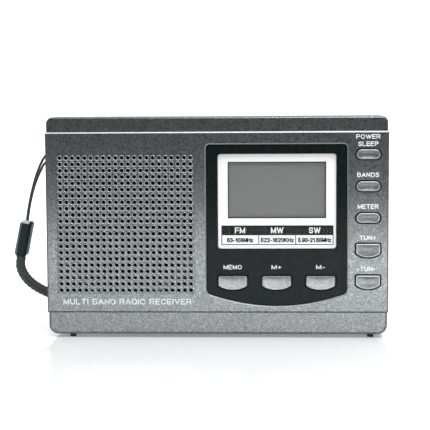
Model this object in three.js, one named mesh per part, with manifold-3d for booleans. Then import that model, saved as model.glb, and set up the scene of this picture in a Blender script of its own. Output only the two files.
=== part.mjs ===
// Pocket shortwave receiver with a digital display, eight keys, a side volume wheel, a telescopic
// antenna, a kickstand and a wrist strap.
//
// Frame, in millimetres: +X to the right as the dial is read, -Y out of the front face, +Z up.
// The origin is on the surface the receiver stands on, under the middle of the case.
import * as THREE from 'three';
import { mergeGeometries, mergeVertices } from 'three/addons/utils/BufferGeometryUtils.js';
import Module from 'manifold-3d';

const wasm = await Module();
wasm.setup();

// ---------------------------------------------------------------- driving dimensions
const GAP = 0.3;                  // play between neighbouring pieces
const FAR = 500;                  // past every piece, for cuts that run right out
const BITE = 0.5;                 // how far joined shapes run into each other

// case
const PANEL_HALF_W = 60.0;        // raised front panel, half width
const CASE_HALF_W = 59.7;         // bands above and below it, and the rear shell
const CASE_BOTTOM = 1.3;
const CASE_TOP = 78.0;
const PANEL_BOTTOM = 9.1;
const PANEL_TOP = 72.7;
const FRONT = -12.5;              // face of the raised panel
const BAND_FRONT = -11.9;         // face of the bands
const BACK = 12.5;
const SPLIT_FRONT = -0.3;         // rear edge of the front shell
const SPLIT_REAR = 0.0;           // front edge of the rear shell
const WALL = 1.8;
const WALL_BACK = FRONT + WALL;   // inner face of the front wall
const CORNER_TOP = 2.4;
const CORNER_BOTTOM = 3.2;
const BAND_EDGE = 0.9;            // rounding of the bands' front edge
const PANEL_EDGE = 0.45;          // chamfer round the raised panel
const BACK_EDGE = 1.4;             // rounding of the rear shell's outer edge
const CAVITY_HALF_W = 57.9;
const CAVITY_BOTTOM = CASE_BOTTOM + WALL;
const CAVITY_TOP = CASE_TOP - WALL;

// speaker grille
const GRILLE_X = -32.0;
const GRILLE_Z = 40.4;
const GRILLE_W = 47.7;
const GRILLE_H = 48.6;
const GRILLE_THICK = 1.5;
const GRILLE_HOLES = 22;          // per row and per column
const GRILLE_PITCH_X = 2.183;
const GRILLE_PITCH_Z = 2.223;
const GRILLE_HOLE = 1.2;          // width of a hole
const SPEAKER_R = 25.0;
const COLLAR_R = SPEAKER_R + GAP; // ring on the front wall that centres the speaker
const COLLAR_WALL = 1.3;
const COLLAR_DEEP = 2.6;

// display bezel, window and printed card
const BEZEL_X = 20.95;
const BEZEL_HALF_W = 24.25;
const BEZEL_TOP = 67.9;
const BEZEL_SIDE_END = 17.6;      // where the sides turn into the bottom curve
const BEZEL_APEX = 11.75;
const BEZEL_FRONT = -12.2;
const BEZEL_BACK = -9.8;
const BEZEL_LIP = 1.2;            // flange behind the front wall
const BEZEL_CORNER = 1.2;         // radius of the two top corners
const BEZEL_SHOULDER = 2.2;       // size of the rounded lower corners
const WINDOW_X = [0.2, 42.1];
const WINDOW_Z = [31.3, 65.1];
const WINDOW_CORNER = 1.1;
const LENS_Y = [-12.1, -11.0];
const CARD_Y = [-10.7, -10.3];
const GLASS_BACK = -8.2;
const CONNECTOR_Z = [41.2, 43.2];
const DISPLAY_X = [3.95, 38.3];
const DISPLAY_Z = [42.3, 62.1];
const GLASS_X = [2.1, 40.1];
const GLASS_Z = [40.1, 64.3];

// keys
const SIDE_KEY_X = 52.85;
const PILL_W = 8.55;
const PILL_H = 3.7;
const TUNE_W = 8.7;
const TUNE_H = 5.05;
const MEMORY_W = 10.5;
const MEMORY_H = 5.2;
const BOWED_CORNER = 0.6;         // radius of a bowed key's two top corners
const KEY_PROUD = 0.5;            // key face above the face round it
const KEY_TRAVEL_GAP = 0.4;       // key to switch plunger
const KEY_EDGE = 0.35;            // chamfer round the key face
const KEY_FLANGE = 0.8;           // how far the foot behind the opening is wider than the cap
const KEY_FOOT = 0.6;             // thickness of that foot
const SWITCH_HALF = 3.0;          // half width of a tact switch
const PLUNGER_R = 1.5;
const SIDE_KEYS = [
  { name: 'key_power', x: SIDE_KEY_X, z: 64.67, shape: 'pill' },
  { name: 'key_bands', x: SIDE_KEY_X, z: 53.55, shape: 'pill' },
  { name: 'key_meter', x: SIDE_KEY_X, z: 42.5, shape: 'pill' },
  { name: 'key_tune_up', x: SIDE_KEY_X, z: 31.05, shape: 'tune' },
  { name: 'key_tune_down', x: SIDE_KEY_X, z: 19.9, shape: 'tune' },
];
const BEZEL_KEYS = [
  { name: 'key_memo', x: 5.6, z: 19.65 },
  { name: 'key_m_plus', x: 20.95, z: 19.65 },
  { name: 'key_m_minus', x: 36.35, z: 19.65 },
];

// circuit board
const BOARD_FRONT = -6.5;
const BOARD_BACK = -5.3;
const BOARD_X = [-4.0, 57.2];
const BOARD_Z = [4.6, 67.2];
const CHIP_X = [12.0, 22.0];
const CHIP_Z = [47.0, 57.0];
const CHIP_THICK = 1.6;

// speaker: each profile point is a radius and a depth in Y
const CONE_PROFILE = [
  [0, -5.4], [3.4, -4.6], [5.2, -3.9], [19.2, -9.0], [20.6, -9.4], [20.6, -8.9], [19.4, -8.5],
  [6.8, -3.2], [5.4, -2.9], [5.4, -2.1], [0, -2.1],
];
const BASKET_PROFILE = [
  [22.5, -10.4], [25.0, -10.4], [25.0, -9.0], [22.5, -8.5], [11.2, -2.6], [11.2, -1.8], [7.5, -1.8],
  [7.5, -2.6], [10.4, -2.9], [21.4, -8.8], [21.4, -9.5], [22.5, -10.4],
];
const MAGNET_PROFILE = [[0, -1.5], [11.0, -1.5], [11.0, 4.6], [10.6, 5.0], [0, 5.0]];

// ferrite bar antenna, lying along X under the top of the case
const FERRITE_Z = 71.9;
const FERRITE_R = 3.0;
const FERRITE_HALF = 30.0;
const COIL_R = 3.65;
const COIL_HALF = 11.0;
const SADDLE_X = [-24, 24];

// battery bay: two AA cells one above the other
const CELL_R = 7.1;
const CELL_LENGTH = 49.2;
const CELL_START = 3.2;           // free length at the left end, for the spring
const CELL_SHOULDER = 6.6;        // radius of the flat ends
const CELL_NIPPLE = [2.7, 1.0];   // radius and height of the positive end
const CELL_Y = 3.4;
const CELL_Z = [14.35, 29.25];
const BAY_X = [0.0, 56.0];
const BAY_Z = [7.0, 36.6];
const BAY_FLOOR = -4.0;
const BAY_WALL = 1.0;
const DOOR_INNER = 10.9;
const DOOR_MARGIN = 1.0;
const RIDGES = 4;                 // finger grooves in the door
const RIDGE_PITCH = 2.0;
const RIDGE_WIDTH = 0.8;
const CONTACT_HALF_Y = 5.4;
const CONTACT_HALF_Z = 5.6;
const CONTACT_DEEP = 0.8;         // contact's inner face from the bay's end wall
const SPRING_WIRE_R = 0.3;
const SPRING_R = [4.6, 2.4];      // wide end and narrow end
const SPRING_TURNS = 2.5;

// antenna, in the step along the top of the back
const STEP_Y = 5.6;
const STEP_Z = 69.2;
const ANTENNA_X = 51.5;
const ANTENNA_Y = 9.0;
const ANTENNA_Z = 73.1;
const TUBES = [                   // outer radius, inner radius, closed end x, open end x, when pushed in
  { r: 3.0, bore: 2.65, from: 48.1, to: -44.0 },
  { r: 2.35, bore: 2.05, from: 43.5, to: -46.0 },
  { r: 1.75, bore: 1.45, from: 43.0, to: -47.5 },
  { r: 1.15, bore: 0.85, from: 42.5, to: -49.0 },
];
const ROD_R = 0.55;
const TIP_R = 2.2;
const TIP_LENGTH = 5.0;
const SWIVEL_R = 3.0;
const RIVET_R = 1.5;
const FORK_R = 2.1;               // fork cheeks and the tongue between them
const FORK_Y = [1.45, 2.9];       // inner and outer face of a cheek, from the middle
const TONGUE_HALF = 1.15;
const LIFT_PIN_R = 0.75;

// kickstand
const STAND_X = [-35.5, -11.5];
const STAND_AXIS_Y = 11.2;
const STAND_AXIS_Z = 47.2;
const STAND_TIP_Z = 9.0;
const STAND_THICK = 1.8;
const STAND_RECESS_Y = 9.6;
const STAND_PIN_R = 0.7;
const STAND_PIN_OUT = 1.4;        // how far the stub pins stand out of the leg
const STAND_BARREL_R = 1.2;

// volume wheel
const WHEEL_X = 52.0;
const WHEEL_Z = 48.3;
const WHEEL_R = 9.0;
const WHEEL_Y = [-2.2, 0.8];
const WHEEL_TEETH = 32;
const WHEEL_TOOTH = 0.35;
const SHAFT_R = 1.5;              // shaft of the wheel, in the control's bushing
const CONTROL_R = 5.0;

// wrist strap
const STRAP_BAR_X = -58.2;
const STRAP_BAR_Z = 62.9;
const STRAP_BAR_R = 1.0;
const POCKET_X = -55.3;           // inner end of the pocket round the bar
const POCKET_Y = [3.4, 9.8];
const POCKET_HALF_Z = 3.1;
const CORD_R = 0.45;
const WEBBING_R = 1.5;
const FERRULE = { x: -73.4, y: 16.5, z: 32.4, w: 4.0, d: 7.0, h: 13.4, tilt: 10.3 };

// case screws: two in the step above, two low down
const SCREWS = [
  { name: 'case_screw_top_left', x: -44.0, z: 72.9, ledge: 3.4, boss: 1.2, mouth: STEP_Y },
  { name: 'case_screw_top_right', x: 44.0, z: 72.9, ledge: 3.4, boss: 1.2, mouth: STEP_Y },
  { name: 'case_screw_bottom_left', x: -53.5, z: 8.5, ledge: 7.6, boss: 3.0, mouth: BACK },
  { name: 'case_screw_bottom_middle', x: -5.5, z: 8.5, ledge: 7.6, boss: 3.0, mouth: BACK },
];
const SCREW_HEAD_R = 2.2;
const SCREW_HEAD_H = 1.6;
const SCREW_SHANK_R = 1.1;
const SCREW_LENGTH = 10.0;
const SCREW_SLOT = [1.3, 0.3];    // half length and half width of the cross recess
const SCREW_SLOT_DEEP = 0.8;
const BOSS_R = 2.8;
const PILLAR_R = 3.4;

// feet
const FOOT_R = 1.1;
const FOOT_SOCKET = 1.4;          // depth of the hole it is pressed into
const FEET = [
  { name: 'foot_front_left', x: -51.6, y: -8.5 },
  { name: 'foot_front_right', x: 54.0, y: -8.5 },
  { name: 'foot_rear_left', x: -51.6, y: 8.5 },
  { name: 'foot_rear_right', x: 54.0, y: 8.5 },
];

// side sockets
const SOCKET_Y = 5.3;
const EARPHONE_Z = 29.0;
const SUPPLY_Z = 42.0;
const SOCKET_X = [-57.6, -46.5];
const SOCKET_HALF = 3.0;          // barrel radius, and half depth of the body
const SOCKET_HALF_Z = 3.4;

// ---------------------------------------------------------------- materials
function paint(color, roughness, metalness) {
  return new THREE.MeshStandardMaterial({ color, roughness, metalness });
}
const casePaint = () => paint(0x6f7475, 0.5, 0.35);
const blackGloss = () => paint(0x22282a, 0.3, 0.0);
const darkPlastic = () => paint(0x2e3233, 0.55, 0.0);
const keyPaint = () => paint(0xb4b8b8, 0.45, 0.3);
const clear = () => paint(0xdfe6e8, 0.08, 0.0);
const card = () => paint(0xf6f7f6, 0.6, 0.0);
const liquidCrystal = () => paint(0x7d817f, 0.25, 0.0);
const boardGreen = () => paint(0x1f5a3a, 0.5, 0.0);
const steel = () => paint(0xb9bcbe, 0.35, 1.0);
const chrome = () => paint(0xd5d8da, 0.15, 1.0);
const ferrite = () => paint(0x2b2a2c, 0.7, 0.0);
const copper = () => paint(0xa8643c, 0.4, 0.8);
const paper = () => paint(0x1b1a19, 0.85, 0.0);
const rubber = () => paint(0x141414, 0.8, 0.0);
const cellWrap = () => paint(0x4a5a66, 0.4, 0.1);
const braid = () => paint(0x2f3a3c, 0.9, 0.0);

// ---------------------------------------------------------------- solids
function solid(geometry) {
  const bare = geometry.clone();
  bare.deleteAttribute('normal');
  bare.deleteAttribute('uv');
  const merged = mergeVertices(bare, 1e-4);
  return new wasm.Manifold(new wasm.Mesh({
    numProp: 3,
    vertProperties: new Float32Array(merged.attributes.position.array),
    triVerts: new Uint32Array(merged.index.array),
  }));
}

function geometryOf(manifold) {
  const mesh = manifold.getMesh();
  const geometry = new THREE.BufferGeometry();
  geometry.setAttribute('position', new THREE.BufferAttribute(new Float32Array(mesh.vertProperties), 3));
  geometry.setIndex(new THREE.BufferAttribute(new Uint32Array(mesh.triVerts), 1));
  geometry.computeVertexNormals();
  return geometry;
}

function boxGeometry(x, y, z) {
  const geometry = new THREE.BoxGeometry(x[1] - x[0], y[1] - y[0], z[1] - z[0]);
  geometry.translate((x[0] + x[1]) / 2, (y[0] + y[1]) / 2, (z[0] + z[1]) / 2);
  return geometry;
}
const block = (x, y, z) => solid(boxGeometry(x, y, z));

function rodY(x, z, r, y0, y1, sides = 20) {
  const geometry = new THREE.CylinderGeometry(r, r, y1 - y0, sides);
  geometry.translate(x, (y0 + y1) / 2, z);
  return solid(geometry);
}

function rodX(y, z, r, x0, x1, sides = 20) {
  const geometry = new THREE.CylinderGeometry(r, r, x1 - x0, sides);
  geometry.rotateZ(Math.PI / 2);
  geometry.translate((x0 + x1) / 2, y, z);
  return solid(geometry);
}

function rodZ(x, y, r, z0, z1, sides = 20) {
  const geometry = new THREE.CylinderGeometry(r, r, z1 - z0, sides);
  geometry.rotateX(Math.PI / 2);
  geometry.translate(x, y, (z0 + z1) / 2);
  return solid(geometry);
}

// A solid of revolution about a line along Y: profile points are [radius, y].
function turnedY(x, z, profile, sides) {
  const geometry = new THREE.LatheGeometry(profile.map(([r, y]) => new THREE.Vector2(r, y)), sides);
  geometry.translate(x, 0, z);
  return solid(geometry);
}

// A flat outline drawn in X and Z, standing from y0 to y1. A bevel rounds or chamfers its -Y edge.
function plate(shape, y0, y1, edge = 0, edgeSteps = 1, curveSegments = 8) {
  const options = { depth: y1 - y0, bevelEnabled: false, curveSegments };
  if (edge > 0) {
    Object.assign(options, {
      depth: y1 - y0,
      bevelEnabled: true,
      bevelThickness: edge,
      bevelSize: edge,
      bevelOffset: -edge,
      bevelSegments: edgeSteps,
    });
  }
  const geometry = new THREE.ExtrudeGeometry(shape, options);
  geometry.rotateX(Math.PI / 2);
  geometry.translate(0, y1, 0);
  const whole = solid(geometry);
  if (edge === 0) {
    return whole;
  }
  // The bevel stands outside the depth at both ends: keep the front one, cut the rear one off.
  return whole.translate([0, edge, 0]).intersect(block([-FAR, FAR], [-FAR, y1], [-FAR, FAR]));
}

function roundedRect(x0, x1, z0, z1, rTop, rBottom = rTop) {
  const shape = new THREE.Shape();
  shape.moveTo(x0 + rBottom, z0);
  shape.lineTo(x1 - rBottom, z0);
  shape.absarc(x1 - rBottom, z0 + rBottom, rBottom, -Math.PI / 2, 0, false);
  shape.lineTo(x1, z1 - rTop);
  shape.absarc(x1 - rTop, z1 - rTop, rTop, 0, Math.PI / 2, false);
  shape.lineTo(x0 + rTop, z1);
  shape.absarc(x0 + rTop, z1 - rTop, rTop, Math.PI / 2, Math.PI, false);
  shape.lineTo(x0, z0 + rBottom);
  shape.absarc(x0 + rBottom, z0 + rBottom, rBottom, Math.PI, Math.PI * 1.5, false);
  return shape;
}

function rectangle(x0, x1, z0, z1) {
  const shape = new THREE.Shape();
  shape.moveTo(x0, z0);
  shape.lineTo(x1, z0);
  shape.lineTo(x1, z1);
  shape.lineTo(x0, z1);
  shape.closePath();
  return shape;
}

// A key with a flat top and a bowed bottom edge.
function bowedKey(x, z, w, h, grow = 0) {
  const half = w / 2 + grow;
  const top = z + h / 2 + grow;
  const shoulder = z - h * 0.2 - grow * 0.4;
  const low = z - h / 2 - grow;
  const r = BOWED_CORNER + grow;
  const shape = new THREE.Shape();
  shape.moveTo(x - half, top - r);
  shape.lineTo(x - half, shoulder);
  shape.quadraticCurveTo(x - half * 0.62, low, x, low);
  shape.quadraticCurveTo(x + half * 0.62, low, x + half, shoulder);
  shape.lineTo(x + half, top - r);
  shape.absarc(x + half - r, top - r, r, 0, Math.PI / 2, false);
  shape.lineTo(x - half + r, top);
  shape.absarc(x - half + r, top - r, r, Math.PI / 2, Math.PI, false);
  return shape;
}

function pillKey(x, z, w, h, grow = 0) {
  const half = w / 2 + grow;
  const tall = h / 2 + grow;
  const shape = new THREE.Shape();
  shape.moveTo(x - half + tall, z - tall);
  shape.absarc(x + half - tall, z, tall, -Math.PI / 2, Math.PI / 2, false);
  shape.absarc(x - half + tall, z, tall, Math.PI / 2, Math.PI * 1.5, false);
  return shape;
}

function bezelOutline(grow = 0) {
  const left = BEZEL_X - BEZEL_HALF_W - grow;
  const right = BEZEL_X + BEZEL_HALF_W + grow;
  const top = BEZEL_TOP + grow;
  const side = BEZEL_SIDE_END;
  const shoulder = BEZEL_SIDE_END - BEZEL_SHOULDER - grow * 0.7;
  const apex = BEZEL_APEX - grow;
  const r = BEZEL_CORNER;
  const bow = BEZEL_HALF_W * 0.45;
  const shape = new THREE.Shape();
  shape.moveTo(left, side);
  shape.quadraticCurveTo(left, shoulder + 0.6, left + BEZEL_SHOULDER, shoulder);
  shape.quadraticCurveTo(BEZEL_X - bow, apex, BEZEL_X, apex);
  shape.quadraticCurveTo(BEZEL_X + bow, apex, right - BEZEL_SHOULDER, shoulder);
  shape.quadraticCurveTo(right, shoulder + 0.6, right, side);
  shape.lineTo(right, top - r);
  shape.absarc(right - r, top - r, r, 0, Math.PI / 2, false);
  shape.lineTo(left + r, top);
  shape.absarc(left + r, top - r, r, Math.PI / 2, Math.PI, false);
  shape.closePath();
  return shape;
}

// A round tube swept along a curve, closed at both ends.
function sweptTube(points, radius, sides, steps) {
  const curve = new THREE.CatmullRomCurve3(points.map((p) => new THREE.Vector3(...p)), false, 'centripetal');
  const section = new THREE.Shape();
  for (let i = 0; i < sides; i += 1) {
    const a = (i / sides) * Math.PI * 2;
    const x = Math.cos(a) * radius;
    const y = Math.sin(a) * radius;
    if (i === 0) {
      section.moveTo(x, y);
    } else {
      section.lineTo(x, y);
    }
  }
  section.closePath();
  return new THREE.ExtrudeGeometry(section, { steps, bevelEnabled: false, extrudePath: curve });
}

// ---------------------------------------------------------------- the assembly
const receiver = new THREE.Group();
receiver.name = 'shortwave_receiver';

function put(name, body, material, parent = receiver) {
  const geometry = body instanceof THREE.BufferGeometry ? body : geometryOf(body);
  const mesh = new THREE.Mesh(geometry, material);
  mesh.name = name;
  parent.add(mesh);
  return mesh;
}

function sideKeyShape(key, grow) {
  if (key.shape === 'pill') {
    return pillKey(key.x, key.z, PILL_W, PILL_H, grow);
  }
  return bowedKey(key.x, key.z, TUNE_W, TUNE_H, grow);
}

// ---- front shell: bands, raised panel, openings, screw bosses and speaker collar
function frontShell() {
  const bands = plate(
    roundedRect(-CASE_HALF_W, CASE_HALF_W, CASE_BOTTOM, CASE_TOP, CORNER_TOP, CORNER_BOTTOM),
    BAND_FRONT, SPLIT_FRONT, BAND_EDGE, 3, 5,
  );
  const panel = plate(
    rectangle(-PANEL_HALF_W, PANEL_HALF_W, PANEL_BOTTOM, PANEL_TOP), FRONT, SPLIT_FRONT, PANEL_EDGE,
  );
  let shell = bands.add(panel);
  shell = shell.subtract(block(
    [-CAVITY_HALF_W, CAVITY_HALF_W], [WALL_BACK, BACK], [CAVITY_BOTTOM, CAVITY_TOP],
  ));
  for (const screw of SCREWS) {
    shell = shell.add(rodY(screw.x, screw.z, BOSS_R, WALL_BACK - BITE, screw.boss, 16));
    shell = shell.subtract(rodY(screw.x, screw.z, SCREW_SHANK_R + GAP, WALL_BACK + 1.0, BACK, 12));
  }
  const collar = rodY(GRILLE_X, GRILLE_Z, COLLAR_R + COLLAR_WALL, WALL_BACK, WALL_BACK + COLLAR_DEEP, 32)
    .subtract(rodY(GRILLE_X, GRILLE_Z, COLLAR_R, WALL_BACK - 1, BACK, 32));
  shell = shell.add(collar);
  const halfX = GRILLE_W / 2 + GAP;
  const halfZ = GRILLE_H / 2 + GAP;
  shell = shell.subtract(block(
    [GRILLE_X - halfX, GRILLE_X + halfX], [FRONT - 1, WALL_BACK], [GRILLE_Z - halfZ, GRILLE_Z + halfZ],
  ));
  shell = shell.subtract(plate(bezelOutline(GAP), FRONT - 1, WALL_BACK + 0.1, 0, 1, 6));
  for (const key of SIDE_KEYS) {
    shell = shell.subtract(plate(sideKeyShape(key, GAP), FRONT - 1, WALL_BACK + 0.1, 0, 1, 5));
  }
  for (const foot of FEET.filter((f) => f.y < 0)) {
    shell = shell.subtract(rodZ(foot.x, foot.y, FOOT_R + GAP, 0, CASE_BOTTOM + FOOT_SOCKET, 12));
  }
  return shell.subtract(wheelSlot(WHEEL_Y[0] - 0.4, SPLIT_REAR));
}

function wheelSlot(y0, y1) {
  const reach = 7.4;
  return block([CAVITY_HALF_W - 1, PANEL_HALF_W + 2], [y0, y1], [WHEEL_Z - reach, WHEEL_Z + reach]);
}
put('front_shell', frontShell(), casePaint());

// ---- speaker grille: square plate with 22 rows of 22 holes
function speakerGrille() {
  const halfX = GRILLE_W / 2;
  const halfZ = GRILLE_H / 2;
  const hole = GRILLE_HOLE / 2;
  const through = [FRONT - 1, WALL_BACK];
  const pegs = [];
  for (let row = 0; row < GRILLE_HOLES; row += 1) {
    for (let column = 0; column < GRILLE_HOLES; column += 1) {
      const x = GRILLE_X + (column - (GRILLE_HOLES - 1) / 2) * GRILLE_PITCH_X;
      const z = GRILLE_Z + (row - (GRILLE_HOLES - 1) / 2) * GRILLE_PITCH_Z;
      pegs.push(boxGeometry([x - hole, x + hole], through, [z - hole, z + hole]));
    }
  }
  return block(
    [GRILLE_X - halfX, GRILLE_X + halfX], [FRONT, FRONT + GRILLE_THICK],
    [GRILLE_Z - halfZ, GRILLE_Z + halfZ],
  ).subtract(solid(mergeGeometries(pegs)));
}
put('speaker_grille', speakerGrille(), casePaint());

// ---- display bezel with its three key openings, window, card and display
function displayBezel() {
  let bezel = plate(bezelOutline(0), BEZEL_FRONT, BEZEL_BACK, 0, 1, 6);
  bezel = bezel.add(plate(bezelOutline(BEZEL_LIP), WALL_BACK + GAP, BEZEL_BACK, 0, 1, 6));
  bezel = bezel.subtract(plate(
    roundedRect(...WINDOW_X, ...WINDOW_Z, WINDOW_CORNER),
    BEZEL_FRONT - 1, BEZEL_BACK + 1, 0, 1, 3,
  ));
  for (const key of BEZEL_KEYS) {
    bezel = bezel.subtract(plate(
      bowedKey(key.x, key.z, MEMORY_W, MEMORY_H, GAP), BEZEL_FRONT - 1, BEZEL_BACK + 1, 0, 1, 5,
    ));
  }
  return bezel;
}
put('display_bezel', displayBezel(), blackGloss());

const inWindow = roundedRect(
  WINDOW_X[0] + GAP, WINDOW_X[1] - GAP, WINDOW_Z[0] + GAP, WINDOW_Z[1] - GAP, WINDOW_CORNER - 0.2,
);
put('window_lens', plate(inWindow, LENS_Y[0], LENS_Y[1], 0, 1, 3), clear());
const displayCard = plate(inWindow, CARD_Y[0], CARD_Y[1], 0, 1, 3)
  .subtract(block(DISPLAY_X, [FRONT, BACK], DISPLAY_Z));
put('dial_card', displayCard, card());
const glassY = [CARD_Y[1] + GAP, GLASS_BACK];
put('lcd_glass', boxGeometry(GLASS_X, glassY, GLASS_Z), liquidCrystal());
put('lcd_connector', boxGeometry(
  [GLASS_X[0] + 1.5, GLASS_X[1] - 1.5], [GLASS_BACK + GAP, BOARD_FRONT - GAP], CONNECTOR_Z,
), rubber());

// ---- keys: a cap through the opening and a wider foot behind it
function sideKey(key) {
  const footFront = WALL_BACK + GAP;
  const cap = plate(sideKeyShape(key, 0), FRONT - KEY_PROUD, footFront + 0.2, KEY_EDGE, 1, 5);
  const foot = plate(sideKeyShape(key, KEY_FLANGE), footFront, footFront + KEY_FOOT, 0, 1, 3)
    .intersect(block([0, CAVITY_HALF_W - GAP], [-FAR, FAR], [0, FAR]));
  return cap.add(foot);
}
for (const key of SIDE_KEYS) {
  put(key.name, sideKey(key), casePaint());
}

function bezelKey(key) {
  const footFront = BEZEL_BACK + GAP;
  const cap = plate(
    bowedKey(key.x, key.z, MEMORY_W, MEMORY_H, 0), BEZEL_FRONT - KEY_PROUD, footFront + 0.2, KEY_EDGE, 1, 5,
  );
  return cap.add(plate(
    bowedKey(key.x, key.z, MEMORY_W, MEMORY_H, KEY_FLANGE), footFront, footFront + KEY_FOOT, 0, 1, 3,
  ));
}
for (const key of BEZEL_KEYS) {
  put(key.name, bezelKey(key), keyPaint());
}

// ---- circuit board, tact switches and receiver chip
function mainBoard() {
  let board = block(BOARD_X, [BOARD_FRONT, BOARD_BACK], BOARD_Z);
  const boss = SCREWS.find((screw) => screw.name === 'case_screw_bottom_middle');
  board = board.subtract(rodY(boss.x, boss.z, BOSS_R + 0.4, BOARD_FRONT - 1, BOARD_BACK + 1, 16));
  board = board.subtract(rodY(WHEEL_X, WHEEL_Z, 1.2, BOARD_FRONT - 1, BOARD_BACK + 1, 12));
  return board;
}
put('main_board', mainBoard(), boardGreen());

function tactSwitch(key, footBack) {
  const plungerTop = footBack + KEY_TRAVEL_GAP;
  const body = block(
    [key.x - SWITCH_HALF, key.x + SWITCH_HALF], [plungerTop + 0.4, BOARD_FRONT - GAP],
    [key.z - SWITCH_HALF, key.z + SWITCH_HALF],
  );
  return body.add(rodY(key.x, key.z, PLUNGER_R, plungerTop, plungerTop + 0.8, 12));
}
const switchName = (key) => key.name.replace('key_', 'switch_');
for (const key of SIDE_KEYS) {
  put(switchName(key), tactSwitch(key, WALL_BACK + GAP + KEY_FOOT), darkPlastic());
}
for (const key of BEZEL_KEYS) {
  put(switchName(key), tactSwitch(key, BEZEL_BACK + GAP + KEY_FOOT), darkPlastic());
}
const chipY = [BOARD_BACK + GAP, BOARD_BACK + GAP + CHIP_THICK];
put('receiver_chip', boxGeometry(CHIP_X, chipY, CHIP_Z), darkPlastic());

// ---- speaker
put('speaker_basket', turnedY(GRILLE_X, GRILLE_Z, BASKET_PROFILE, 28), steel());
put('speaker_cone', turnedY(GRILLE_X, GRILLE_Z, CONE_PROFILE, 24), paper());
put('speaker_magnet', turnedY(GRILLE_X, GRILLE_Z, MAGNET_PROFILE, 24), steel());

// ---- ferrite bar antenna and its coil
put('ferrite_rod', rodX(0, FERRITE_Z, FERRITE_R, -FERRITE_HALF, FERRITE_HALF, 16), ferrite());
const coilBore = rodX(0, FERRITE_Z, FERRITE_R + GAP, -COIL_HALF - 1, COIL_HALF + 1, 20);
const coil = rodX(0, FERRITE_Z, COIL_R, -COIL_HALF, COIL_HALF, 20).subtract(coilBore);
put('ferrite_coil', coil, copper());

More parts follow.
